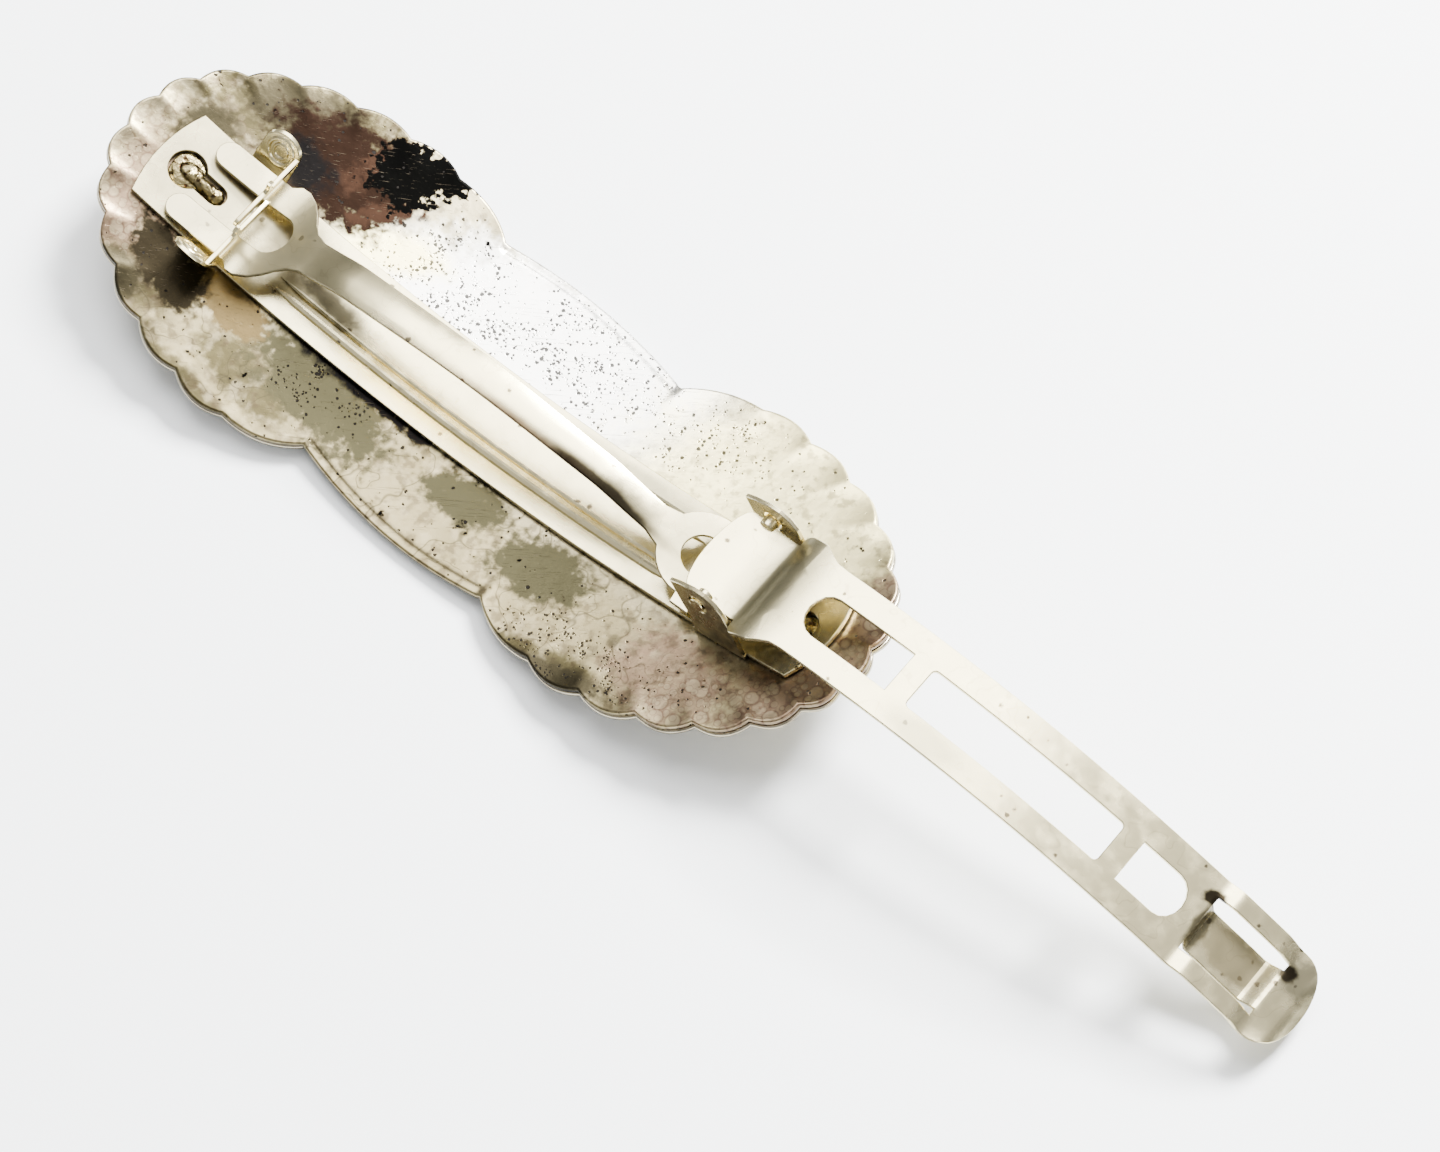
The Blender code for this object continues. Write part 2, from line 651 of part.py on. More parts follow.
def arm_height():
    return smooth_height([
        (LATCH_S - ARM_TIP_FROM_LATCH, ARM_HEIGHT + ARM_LATCH_RISE + TIP_CURL),
        (LATCH_S - ARM_TIP_FROM_LATCH + 2.0 * MM, ARM_HEIGHT + ARM_LATCH_RISE),
        (LATCH_S + LAST_WINDOW_FROM_LATCH, ARM_HEIGHT + ARM_LATCH_RISE * 0.7),
        (0.0, ARM_HEIGHT),
        (PIVOT_S - 9.0 * MM, ARM_HEIGHT),
        (PIVOT_S - 5.8 * MM, ARM_HEIGHT + 0.25 * MM),
        (PIVOT_S - CREASE_FROM_PIVOT, CREASE_HEIGHT),
        (PIVOT_S, PIVOT_HEIGHT),
        (PIVOT_S + HEEL_REACH, PIVOT_HEIGHT - 0.3 * MM),
    ])


def arm_half_outline():
    """The +Y edge of the arm, from behind the pivot to the tip."""
    heel, arm, shoulder = HEEL_WIDTH / 2, ARM_WIDTH / 2, SHOULDER_WIDTH / 2
    heel_s = PIVOT_S + HEEL_REACH
    first = PIVOT_S - SHOULDER_FROM_PIVOT
    last = first - SHOULDER_LENGTH
    tip_s = LATCH_S - ARM_TIP_FROM_LATCH
    round_end = arc((heel_s - HEEL_ROUNDING, 0), (HEEL_ROUNDING, heel), 0, math.pi / 2, 8)
    corner = SHOULDER_CORNER
    shoulders = arc((first - corner, shoulder - corner), (corner, corner), 0, math.pi / 2, 3)
    shoulders += [(last + 1.9 * MM, shoulder - 0.15 * MM), (last + 0.9 * MM, shoulder - 0.7 * MM),
                  (last, arm + 0.1 * MM), (last - 1.2 * MM, arm)]
    tip = arc((tip_s + TIP_ROUNDING, 0), (TIP_ROUNDING, arm), math.pi / 2, math.pi, 9)
    return round_end + [(first, heel)] + shoulders + tip


def arm_windows():
    half = WINDOW_WIDTH / 2
    first_high = PIVOT_S - FIRST_WINDOW_FROM_PIVOT
    first_low = first_high - FIRST_WINDOW_LENGTH
    last_low = LATCH_S + LAST_WINDOW_FROM_LATCH
    last_high = last_low + LAST_WINDOW_LENGTH
    rounding = half * 0.85
    first = [(first_low, -half), (first_high - rounding, -half)]
    first += arc((first_high - rounding, 0), (rounding, half), -math.pi / 2, math.pi / 2, 8)[1:]
    first += [(first_low, half)]
    long = rounded_box((last_high + CROSSBAR, -half), (first_low - CROSSBAR, half), WINDOW_CORNER)
    last = arc((last_low + rounding, 0), (rounding, half), math.pi / 2, 3 * math.pi / 2, 8)
    last = [(last_high, half)] + last + [(last_high, -half)]
    return [first, long, last]


def slot_ends():
    middle = LATCH_S + SLOT_CENTER_FROM_LATCH
    return middle - SLOT_LENGTH / 2, middle + SLOT_LENGTH / 2


def arm_slots():
    first, last = slot_ends()
    slots = []
    for side in (-1, 1):
        low, high = sorted((side * SLOT_INNER_Y, side * SLOT_OUTER_Y))
        slots.append([(first, low), (last, low), (last, high), (first, high)])
    return slots


def pressed_offset(s, y):
    """How far the sheet is pressed out at the latch: the bridge away from the base, the rails toward it."""
    first, last = slot_ends()
    if abs(y) <= SLOT_INNER_Y + 1e-6:
        share = min((s - first) / BRIDGE_RAMP_OUT, (last - s) / BRIDGE_RAMP_IN, 1.0)
        return BRIDGE_RISE * max(share, 0.0)
    if abs(y) >= SLOT_OUTER_Y - 1e-6:
        share = min((s - first) / RAIL_RAMP, (last - s) / RAIL_RAMP, 1.0)
        return -RAIL_DROP * max(share, 0.0)
    return 0.0


def clasp_arm(material):
    height = arm_height()
    loops = [mirrored(arm_half_outline())] + arm_windows() + arm_slots()
    bm = prism(loops, -ARM_SHEET / 2, ARM_SHEET / 2)
    first, last = slot_ends()
    slice_mesh(bm, 1, [side * y for side in (-1, 1) for y in (SLOT_INNER_Y, SLOT_OUTER_Y)])
    slice_mesh(bm, 0, [first, first + BRIDGE_RAMP_OUT, first + RAIL_RAMP])
    slice_mesh(bm, 0, [last, last - BRIDGE_RAMP_IN, last - RAIL_RAMP])
    shoulder_s = PIVOT_S - SHOULDER_FROM_PIVOT - SHOULDER_LENGTH
    slice_mesh(bm, 0, steps_between(LATCH_S - ARM_TIP_FROM_LATCH, shoulder_s, BEND_STEP))
    slice_mesh(bm, 0, steps_between(shoulder_s, PIVOT_S + HEEL_REACH, ARM_BEND_STEP))

    def place(s, y, h):
        along, up = off_sheet(height, s, h)
        return open_arm(along, y, up + pressed_offset(s, y))

    arm = finish(bm, "clasp_arm", material, place, PIVOT)
    extras = []
    for side in (-1, 1):
        ends = sorted((side * (HEEL_WIDTH / 2 - STUB_ROOT), side * (EAR_INNER_Y + EAR_SHEET + STUB_PROUD)))
        pin = sheet_across([round_hole((PIVOT_S, PIVOT_HEIGHT), PIVOT_RADIUS, 16)], *ends)
        extras.append(finish(pin, "pin", material, open_arm))
    join(arm, extras)
    return arm


# Solder

def solder(name, loop, material):
    bm = prism([loop], PLATE_TOP + SOLDER_SEAT_GAP, PLATE_TOP + SOLDER_HEIGHT)
    return finish(bm, name, material, bend)


def stand_on_origin():
    """Moves the whole barrette so that the world's origin is the middle of its box, at its lowest point."""
    bpy.context.view_layer.update()
    things = list(bpy.data.objects)
    corners = [thing.matrix_world @ Vector(corner) for thing in things for corner in thing.bound_box]
    low = [min(corner[i] for corner in corners) for i in range(3)]
    high = [max(corner[i] for corner in corners) for i in range(3)]
    middle = Vector(((low[0] + high[0]) / 2, (low[1] + high[1]) / 2, low[2]))
    for thing in things:
        thing.location -= middle


def build():
    for old in list(bpy.data.objects):
        bpy.data.objects.remove(old)
    silver = new_material("tarnished_silver", (0.62, 0.58, 0.50), 1.0, 0.32)
    shell_silver = new_material("front_silver", (0.70, 0.68, 0.63), 1.0, 0.28)
    nickel = new_material("nickel_steel", (0.74, 0.70, 0.60), 1.0, 0.2)
    lead = new_material("solder", (0.45, 0.41, 0.33), 1.0, 0.45)

    silver_plate(silver)
    front_shell("front_shell_latch", -1, shell_silver)
    front_shell("front_shell_hinge", 1, shell_silver)
    clip_base(nickel)
    latch_ear("latch_ear_left", -1, nickel)
    latch_ear("latch_ear_right", 1, nickel)

    ring_pivot = bend(RING_S, 0, RING_HEIGHT)
    crown_pivot = bend(CROWN_S, 0, BAR_CROWN_HEIGHT)
    ring_loops = [mirrored(ring_half_outline()), round_hole((RING_S, 0), RING_HOLE_RADIUS, 24)]
    tension_bar("tension_bar_ring", ring_loops, (CROWN_S, RING_S + RING_RADIUS), ring_pivot, nickel)
    fork_ends = (LATCH_S - PRONG_REACH, CROWN_S)
    tension_bar("tension_bar_fork", [mirrored(fork_half_outline())], fork_ends, crown_pivot, nickel)
    clasp_arm(nickel)

    blob = keyhole(KEYHOLE_RADIUS - SOLDER_CLEARANCE, KEYHOLE_SLOT_WIDTH - 2 * SOLDER_CLEARANCE,
                   KEYHOLE_SLOT_REACH - 2 * SOLDER_CLEARANCE)
    solder("solder_latch", blob, lead)
    spot = round_hole((HALF_CLIP - END_HOLE_FROM_END, 0), END_HOLE_RADIUS - SOLDER_CLEARANCE)
    solder("solder_hinge", spot, lead)
    stand_on_origin()


build()
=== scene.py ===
"""The looks of the scalloped silver barrette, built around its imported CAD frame."""

import math

import bmesh
import bpy
from mathutils import Matrix, Vector, noise


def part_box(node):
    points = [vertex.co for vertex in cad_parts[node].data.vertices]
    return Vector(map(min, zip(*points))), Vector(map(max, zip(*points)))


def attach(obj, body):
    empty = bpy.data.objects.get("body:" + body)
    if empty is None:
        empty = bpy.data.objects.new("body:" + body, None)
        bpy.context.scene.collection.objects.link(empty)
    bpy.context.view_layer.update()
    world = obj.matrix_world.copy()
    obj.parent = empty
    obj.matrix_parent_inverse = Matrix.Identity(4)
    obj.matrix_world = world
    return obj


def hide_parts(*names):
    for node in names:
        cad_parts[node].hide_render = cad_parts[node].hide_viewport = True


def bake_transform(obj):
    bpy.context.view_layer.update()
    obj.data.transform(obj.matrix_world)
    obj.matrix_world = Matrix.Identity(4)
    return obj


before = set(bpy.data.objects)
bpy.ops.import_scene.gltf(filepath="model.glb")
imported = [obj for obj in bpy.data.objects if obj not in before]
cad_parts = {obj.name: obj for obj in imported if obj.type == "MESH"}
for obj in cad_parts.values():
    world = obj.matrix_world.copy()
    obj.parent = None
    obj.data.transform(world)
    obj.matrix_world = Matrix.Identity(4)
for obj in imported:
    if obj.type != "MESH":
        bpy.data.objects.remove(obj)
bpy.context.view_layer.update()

MM = 0.001

# The arc of the clip, measured at the top face of its base.
CLIP_RADIUS = 120.0 * MM
FLOOR_Z = 2.1 * MM
SOLDER_GAP = 0.25 * MM

# Silver plate.
PLATE_LENGTH = 89.8 * MM
PLATE_WIDTH = 34.4 * MM
PLATE_THICKNESS = 0.6 * MM
LOBE_LENGTH = 47.6 * MM
NOTCH_HALF_SPAN = 11.2 * MM
NOTCH_DEPTH = 2.0 * MM
WAIST_BULGE = 1.3 * MM
WAIST_SKEW = 0.45 * MM
SCALLOPS_PER_LOBE = 15
SCALLOP_DEPTH = 0.85 * MM
END_SCALLOP_STRETCH = 1.28
PLATE_TURN = math.radians(-1.4)
PLATE_SHIFT = 0.5 * MM

# The plate's surface: its rounded rim, its flutes, the waist's bevel and its hand-made waves.
RIM_ROUND = 0.12 * MM
RIM_RINGS = (0.12, 0.3, 0.55, 0.8, 0.95, 1.1, 1.4, 1.9, 2.5, 3.2, 4.0, 5.0)
INNER_SHARES = (0.42, 0.5, 0.58, 0.66, 0.74, 0.82, 0.9, 0.96, 1.0)
SCALLOP_STEPS = 12
WAIST_STEPS = 60
SPINE_HALF_LENGTH = 19.0 * MM
FLUTE_REACH = 2.2 * MM
SHELL_FLUTE_REACH = FLUTE_REACH * 1.9
FLUTE_HEIGHT = 0.24 * MM
WAIST_BEVEL = 0.1 * MM
BEVEL_START = 0.8 * MM
BEVEL_END = 1.1 * MM
PLATE_WAVES = 0.07 * MM
WAVE_LENGTH = 7 * MM
RIPPLE_LENGTH = 3 * MM

# Raised shell under each lobe.
SHELL_THICKNESS = 0.5 * MM
SHELL_GAP = 0.2 * MM
DOME_DEPTH = 1.7 * MM
DOME_LENGTH = 30.0 * MM
DOME_WIDTH = 23.0 * MM
SHELL_INNER_BULGE = 2.2 * MM

# Clip base.
CLIP_LENGTH = 78.8 * MM
CLIP_WIDTH = 10.2 * MM
CLIP_SHEET = 0.5 * MM
LATCH_END_BULGE = 0.9 * MM
HINGE_END_BULGE = 1.2 * MM
RIB_SECTIONS = ((2.95 * MM, 0.8 * MM, 0.45 * MM), (1.85 * MM, 0.5 * MM, 0.3 * MM))
RIB_FROM_LATCH_END = 15.6 * MM
RIB_FROM_HINGE_END = 14.6 * MM
RIB_TAPER = 2.5 * MM
KEYHOLE_FROM_END = 2.4 * MM
KEYHOLE_RADIUS = 1.85 * MM
KEYHOLE_SLOT_WIDTH = 2.0 * MM
KEYHOLE_SLOT_REACH = 4.6 * MM
END_HOLE_FROM_END = 2.1 * MM
END_HOLE_RADIUS = 1.45 * MM

# Hinge.
PIVOT_FROM_END = 8.6 * MM
PIVOT_HEIGHT = 5.0 * MM
PIVOT_RADIUS = 0.8 * MM
PIVOT_CLEARANCE = 0.25 * MM
STUB_ROOT = 0.6 * MM
STUB_PROUD = 0.15 * MM
EAR_SHEET = 0.45 * MM
EAR_FOOT_BEHIND_PIVOT = 1.9 * MM
EAR_FOOT_PAST_PIVOT = 4.2 * MM
EAR_SIDE_CLEARANCE = 0.35 * MM
EAR_TOP_ABOVE_PIVOT = 2.3 * MM
EAR_BEAK_REACH = 3.0 * MM

# Clasp arm, as it lies when closed.
ARM_SHEET = 0.45 * MM
ARM_WIDTH = 9.5 * MM
ARM_HEIGHT = 4.25 * MM
ARM_LATCH_RISE = 0.35 * MM
ARM_OPENING = math.radians(187.0)
HEEL_WIDTH = 9.4 * MM
HEEL_REACH = 3.1 * MM
HEEL_ROUNDING = 1.4 * MM
CREASE_FROM_PIVOT = 3.1 * MM
CREASE_HEIGHT = 5.6 * MM
SHOULDER_WIDTH = 11.9 * MM
SHOULDER_FROM_PIVOT = 3.6 * MM
SHOULDER_LENGTH = 4.4 * MM
SHOULDER_CORNER = 0.7 * MM
WINDOW_WIDTH = 4.3 * MM
WINDOW_CORNER = 0.45 * MM
FIRST_WINDOW_FROM_PIVOT = 8.75 * MM
FIRST_WINDOW_LENGTH = 10.3 * MM
CROSSBAR = 2.3 * MM
LAST_WINDOW_LENGTH = 6.2 * MM
LAST_WINDOW_FROM_LATCH = 8.3 * MM
SLOT_LENGTH = 8.8 * MM
SLOT_CENTER_FROM_LATCH = 1.8 * MM
SLOT_WIDTH = 0.75 * MM
BRIDGE_WIDTH = 4.4 * MM
BRIDGE_RISE = 1.3 * MM
BRIDGE_RAMP_IN = 0.8 * MM
BRIDGE_RAMP_OUT = 1.7 * MM
RAIL_DROP = 0.55 * MM
RAIL_RAMP = 1.9 * MM
ARM_TIP_FROM_LATCH = 6.8 * MM
TIP_CURL = 0.6 * MM
TIP_ROUNDING = 3.6 * MM
TIP_DISH = 0.5 * MM

# Latch: two sprung ears with a cross tab and a barb each.
LATCH_FROM_END = 10.0 * MM
LATCH_EAR_LENGTH = 4.1 * MM
LATCH_EAR_HEIGHT = 4.4 * MM
LATCH_EAR_CROWN = 0.38
LATCH_EAR_FOOT = 0.35 * MM
LATCH_EAR_FLARE = math.radians(26)
LATCH_SHEET = 0.45 * MM
LATCH_BOSS_RADIUS = 1.35 * MM
LATCH_BOSS_WIRE = 0.22 * MM
TAB_HEIGHT = 1.0 * MM
TAB_PAST_MIDDLE = 2.0 * MM
TAB_GAP = 0.3 * MM
BARB_WIDTH = 0.4 * MM
BARB_RISE = 1.5 * MM
BARB_HOOK = 0.32 * MM
LATCH_CLEARANCE = 0.3 * MM

# Tension bar.
BAR_SHEET = 0.42 * MM
RING_RADIUS = 4.25 * MM
RING_HOLE_RADIUS = 2.0 * MM
RING_FROM_PIVOT = 4.85 * MM
RING_HEIGHT = 1.7 * MM
RING_LUG_LENGTH = 2.0 * MM
BAR_ROOT_WIDTH = 2.9 * MM
BAR_WAIST_WIDTH = 3.9 * MM
BAR_CROWN_HEIGHT = 8.7 * MM
FORK_WIDTH = 11.0 * MM
FORK_ROOT = 7.5 * MM
FORK_MOUTH = 4.5 * MM
FORK_GAP = 4.3 * MM
PRONG_WIDTH = 2.7 * MM
PRONG_REACH = 6.9 * MM
PRONG_TIP_HEIGHT = 0.65 * MM
PRONG_ROOT_HEIGHT = 1.55 * MM
FORK_HEIGHT = 2.0 * MM
BAR_FOOT_HEIGHT = 3.2 * MM
RING_EDGE_HEIGHT = 0.9 * MM
BAR_CROWNING = 0.28 * MM

# Solder.
SOLDER_SEAT_GAP = 0.2 * MM
SOLDER_FOOT = 0.1 * MM
SOLDER_SWELL = 0.2

# How finely the sheets are cut for bending, and the size of their softened edges.
BEND_STEP = 3.0 * MM
FINE_STEP = 0.9 * MM
PRESS_STEP = 0.3 * MM
SHEET_EDGE = 0.07 * MM
FLAT_ANGLE = math.radians(0.25)
SHARP_ANGLE = math.radians(24)

HALF_CLIP = CLIP_LENGTH / 2
LATCH_S = -HALF_CLIP + LATCH_FROM_END
PIVOT_S = HALF_CLIP - PIVOT_FROM_END
RING_S = PIVOT_S - RING_FROM_PIVOT
CROWN_S = (RING_S + LATCH_S) / 2
PLATE_TOP = -CLIP_SHEET - SOLDER_GAP
PLATE_BOTTOM = PLATE_TOP - PLATE_THICKNESS
SHELL_TOP = PLATE_BOTTOM - SHELL_GAP
EAR_INNER_Y = HEEL_WIDTH / 2 + EAR_SIDE_CLEARANCE
TAB_TOP = ARM_HEIGHT + ARM_LATCH_RISE * 0.8 - ARM_SHEET / 2 - RAIL_DROP - LATCH_CLEARANCE
SLOT_INNER_Y = BRIDGE_WIDTH / 2
SLOT_OUTER_Y = SLOT_INNER_Y + SLOT_WIDTH


# Where the clip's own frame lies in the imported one

plate_low, plate_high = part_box("silver_plate")
arm_low, arm_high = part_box("clasp_arm")
SHIFT = Vector(((plate_low.x + plate_high.x) / 2, (arm_low.y + arm_high.y) / 2, 0))


def bend(s, y, h):
    """The world point of (s, y, h) on the clip's arc."""
    turn = s / CLIP_RADIUS
    reach = CLIP_RADIUS - h
    return SHIFT + Vector((reach * math.sin(turn), y, FLOOR_Z + CLIP_RADIUS - reach * math.cos(turn)))


PIVOT = bend(PIVOT_S, 0, PIVOT_HEIGHT)


def open_arm(s, y, h):
    """The world point of (s, y, h) on the closed arm, once the arm is turned open about its pivot."""
    return PIVOT + Matrix.Rotation(ARM_OPENING, 3, "Y") @ (bend(s, y, h) - PIVOT)


def smooth_height(points):
    """h as a smooth function of s through points of rising s, which never overshoots between them."""
    xs, ys = zip(*points)
    last = len(points) - 1
    steps = [(ys[i + 1] - ys[i]) / (xs[i + 1] - xs[i]) for i in range(last)]
    slopes = [steps[0]]
    for before, after in zip(steps, steps[1:]):
        slopes.append(0.0 if before * after <= 0 else 2 * before * after / (before + after))
    slopes.append(steps[-1])

    def height(s):
        i = 0
        while i < last - 1 and s > xs[i + 1]:
            i += 1
        width = xs[i + 1] - xs[i]
        t = min(max((s - xs[i]) / width, 0.0), 1.0)
        rise = ys[i] * (1 + 2 * t) * (1 - t) ** 2 + ys[i + 1] * t * t * (3 - 2 * t)
        return rise + width * t * (1 - t) * (slopes[i] * (1 - t) - slopes[i + 1] * t)

    return height


def arc(center, radii, start, end, steps):
    """Points along an ellipse's arc, angles in radians, both ends included."""
    angles = [start + (end - start) * i / steps for i in range(steps + 1)]
    return [(center[0] + radii[0] * math.cos(a), center[1] + radii[1] * math.sin(a)) for a in angles]


def bulge(first, last, depth, steps):
    """Points from first to last along a shallow arc that bulges to the right of the way by depth."""
    way = (last[0] - first[0], last[1] - first[1])
    length = math.hypot(*way)
    side = (way[1] / length, -way[0] / length)
    points = []
    for i in range(steps + 1):
        t = i / steps
        out = depth * 4 * t * (1 - t)
        points.append((first[0] + way[0] * t + side[0] * out, first[1] + way[1] * t + side[1] * out))
    return points


def rounded_box(low, high, radius):
    """A rectangle with rounded corners, anticlockwise."""
    corners = (
        (high[0] - radius, high[1] - radius, 0),
        (low[0] + radius, high[1] - radius, 90),
        (low[0] + radius, low[1] + radius, 180),
        (high[0] - radius, low[1] + radius, 270),
    )
    points = []
    for s, y, angle in corners:
        start = math.radians(angle)
        points += arc((s, y), (radius, radius), start, start + math.pi / 2, 3)
    return points


def lobe_valleys(side):
    """The valley points of one lobe, for side +1 from its notch at -Y round its end to its notch at +Y."""
    half_length = LOBE_LENGTH / 2
    valley_half_width = PLATE_WIDTH / 2 - SCALLOP_DEPTH
    center = PLATE_LENGTH / 2 - SCALLOP_DEPTH - half_length
    last_angle = math.pi - math.acos((center - NOTCH_HALF_SPAN) / half_length)
    weights = [END_SCALLOP_STRETCH] + [1.0] * (SCALLOPS_PER_LOBE - 2) + [END_SCALLOP_STRETCH]
    points = []
    passed = 0.0
    for weight in [0.0] + weights:
        passed += weight
        angle = last_angle * (2 * passed / sum(weights) - 1)
        s = center + half_length * math.cos(angle)
        points.append((side * s, side * valley_half_width * math.sin(angle)))
    notch_y = PLATE_WIDTH / 2 - NOTCH_DEPTH - WAIST_BULGE
    points[0] = (side * NOTCH_HALF_SPAN, -side * (notch_y + WAIST_SKEW))
    points[-1] = (side * NOTCH_HALF_SPAN, side * (notch_y - WAIST_SKEW))
    return points


def lobe_outline(side):
    """The scalloped edge of one lobe, anticlockwise from notch to notch."""
    valleys = lobe_valleys(side)
    points = []
    for first, last in zip(valleys, valleys[1:]):
        points += bulge(first, last, SCALLOP_DEPTH, SCALLOP_STEPS)[:-1]
    return points + [valleys[-1]]


def turned(x, y):
    """A point of the plate set slightly askew on the clip, as the plate is soldered."""
    c, s = math.cos(PLATE_TURN), math.sin(PLATE_TURN)
    return x * c - y * s, x * s + y * c + PLATE_SHIFT


def smoothstep(low, high, value):
    """0 at low and 1 at high, with soft ends. High may be under low."""
    t = min(max((value - low) / (high - low), 0.0), 1.0)
    return t * t * (3 - 2 * t)


# Building solids

def finish(bm, name, material, place=None):
    """Makes a named object, after moving each vertex to place(s, y, h) where a place is given."""
    if place:
        for vert in bm.verts:
            vert.co = place(*vert.co)
    bmesh.ops.recalc_face_normals(bm, faces=bm.faces[:])
    mesh = bpy.data.meshes.new(name)
    bm.to_mesh(mesh)
    bm.free()
    mesh.materials.append(material)
    mesh.shade_smooth()
    made = bpy.data.objects.new(name, mesh)
    bpy.context.scene.collection.objects.link(made)
    return made


def soft_normals(piece):
    """Joins faces that lie flat with each other, and keeps real edges sharp beside smooth bends."""
    bm = bmesh.new()
    bm.from_mesh(piece.data)
    bmesh.ops.remove_doubles(bm, verts=bm.verts[:], dist=2e-6)
    bmesh.ops.dissolve_limit(bm, angle_limit=FLAT_ANGLE, verts=bm.verts[:], edges=bm.edges[:])
    bm.to_mesh(piece.data)
    bm.free()
    piece.data.shade_smooth()
    piece.data.set_sharp_from_angle(angle=SHARP_ANGLE)
    return piece


def join(target, extras):
    """Unites the extra solids with target and removes them."""
    for extra in extras:
        union = target.modifiers.new("union", "BOOLEAN")
        union.operation = "UNION"
        union.object = extra
    bpy.context.view_layer.update()
    graph = bpy.context.evaluated_depsgraph_get()
    united = bpy.data.meshes.new_from_object(target.evaluated_get(graph))
    target.modifiers.clear()
    target.data = united
    united.shade_smooth()
    for extra in extras:
        bpy.data.objects.remove(extra)
    return target


def loop_area(loop):
    return sum(a[0] * b[1] - b[0] * a[1] for a, b in zip(loop, loop[1:] + loop[:1])) / 2


def shrunk(loop, by):
    """The loop moved to its left by a small distance, corner by corner."""
    points = []
    for before, here, after in zip(loop[-1:] + loop[:-1], loop, loop[1:] + loop[:1]):
        first, second = Vector(here) - Vector(before), Vector(after) - Vector(here)
        normals = [Vector((-way.y, way.x)).normalized() for way in (first, second)]
        miter = (normals[0] + normals[1]).normalized()
        reach = by / max(miter.dot(normals[0]), 0.5)
        points.append((here[0] + miter.x * reach, here[1] + miter.y * reach))
    return points


def prism(loops, low, high):
    """A bmesh of flat outlines, holes among them, extruded from low to high along Z with softened edges."""
    edge = SHEET_EDGE
    loops = [list(loop) for loop in loops]
    outer = max(loops, key=lambda loop: abs(loop_area(loop)))
    for loop in loops:
        if (loop_area(loop) > 0) != (loop is outer):
            loop.reverse()
    bm = bmesh.new()
    caps = ([], [])
    for loop in loops:
        inset = shrunk(loop, edge)
        levels = ((inset, low), (loop, low + edge), (loop, high - edge), (inset, high))
        rows = [[bm.verts.new((x, y, z)) for x, y in points] for points, z in levels]
        for lower, upper in zip(rows, rows[1:]):
            for i in range(len(loop)):
                j = (i + 1) % len(loop)
                bm.faces.new((lower[i], lower[j], upper[j], upper[i]))
        for cap, row in zip(caps, (rows[0], rows[-1])):
            cap += [bm.edges.get((first, last)) for first, last in zip(row, row[1:] + row[:1])]
    for cap in caps:
        bmesh.ops.triangle_fill(bm, use_beauty=True, use_dissolve=False, edges=cap)
    bmesh.ops.recalc_face_normals(bm, faces=bm.faces[:])
    return bm


def slice_mesh(bm, axis, places):
    """Adds edges where the mesh crosses each plane square to the axis."""
    normal = Vector([float(i == axis) for i in range(3)])
    for place in places:
        everything = bm.verts[:] + bm.edges[:] + bm.faces[:]
        bmesh.ops.bisect_plane(bm, geom=everything, dist=1e-7, plane_co=normal * place, plane_no=normal)


def steps_between(low, high, step):
    count = max(1, round((high - low) / step))
    return [low + (high - low) * i / count for i in range(1, count)]


def sheet_across(loops, y_low, y_high):
    """A prism of outlines in (s, h), standing between two y planes, as a bmesh in (s, y, h)."""
    bm = prism(loops, y_low, y_high)
    for vert in bm.verts:
        vert.co = vert.co.xzy
    return bm


def profile_along(loop, s_low, s_high):
    """A prism of an outline in (y, h), running along the clip, as a bmesh in (s, y, h)."""
    bm = prism([loop], s_low, s_high)
    for vert in bm.verts:
        vert.co = vert.co.zxy
    return bm


def off_sheet(height, s, h):
    """(s, h) of a point that lies h off the sheet whose middle runs at height(s), square to it."""
    step = 0.1 * MM
    slope = (height(s + step) - height(s - step)) / (2 * step)
    length = math.hypot(1, slope)
    return s - h * slope / length, height(s) + h / length


# Plate and shells

def crest_share(index):
    """0 at a valley and 1 at a crest, for a point of a lobe's edge."""
    return math.sin(math.pi * (index % SCALLOP_STEPS) / SCALLOP_STEPS)


def ring_solid(rim, inner, height_at, thickness, name, material, place=bend):
    """A closed sheet made of rings that run from the rim to the inner line, with a rounded edge."""
    bm = bmesh.new()
    columns = []
    for index, (edge, core) in enumerate(zip(rim, inner)):
        length = math.hypot(core[0] - edge[0], core[1] - edge[1])
        shares = [ring * MM / length for ring in RIM_RINGS] + list(INNER_SHARES)
        column = [(share, 0.0) for share in reversed(shares)]
        column += [(0.0, RIM_ROUND), (0.0, thickness - RIM_ROUND)]
        column += [(share, thickness) for share in shares]
        verts = []
        for share, drop in column:
            s = edge[0] + (core[0] - edge[0]) * share
            y = edge[1] + (core[1] - edge[1]) * share
            verts.append(bm.verts.new(place(*turned(s, y), height_at(s, y, index, share * length) - drop)))
        columns.append(verts)
    for here, after in zip(columns, columns[1:] + columns[:1]):
        for corners in zip(here, here[1:], after[1:], after):
            bm.faces.new(corners)
    bmesh.ops.remove_doubles(bm, verts=bm.verts[:], dist=1e-7)
    bmesh.ops.dissolve_degenerate(bm, edges=bm.edges[:], dist=1e-8)
    return finish(bm, name, material)


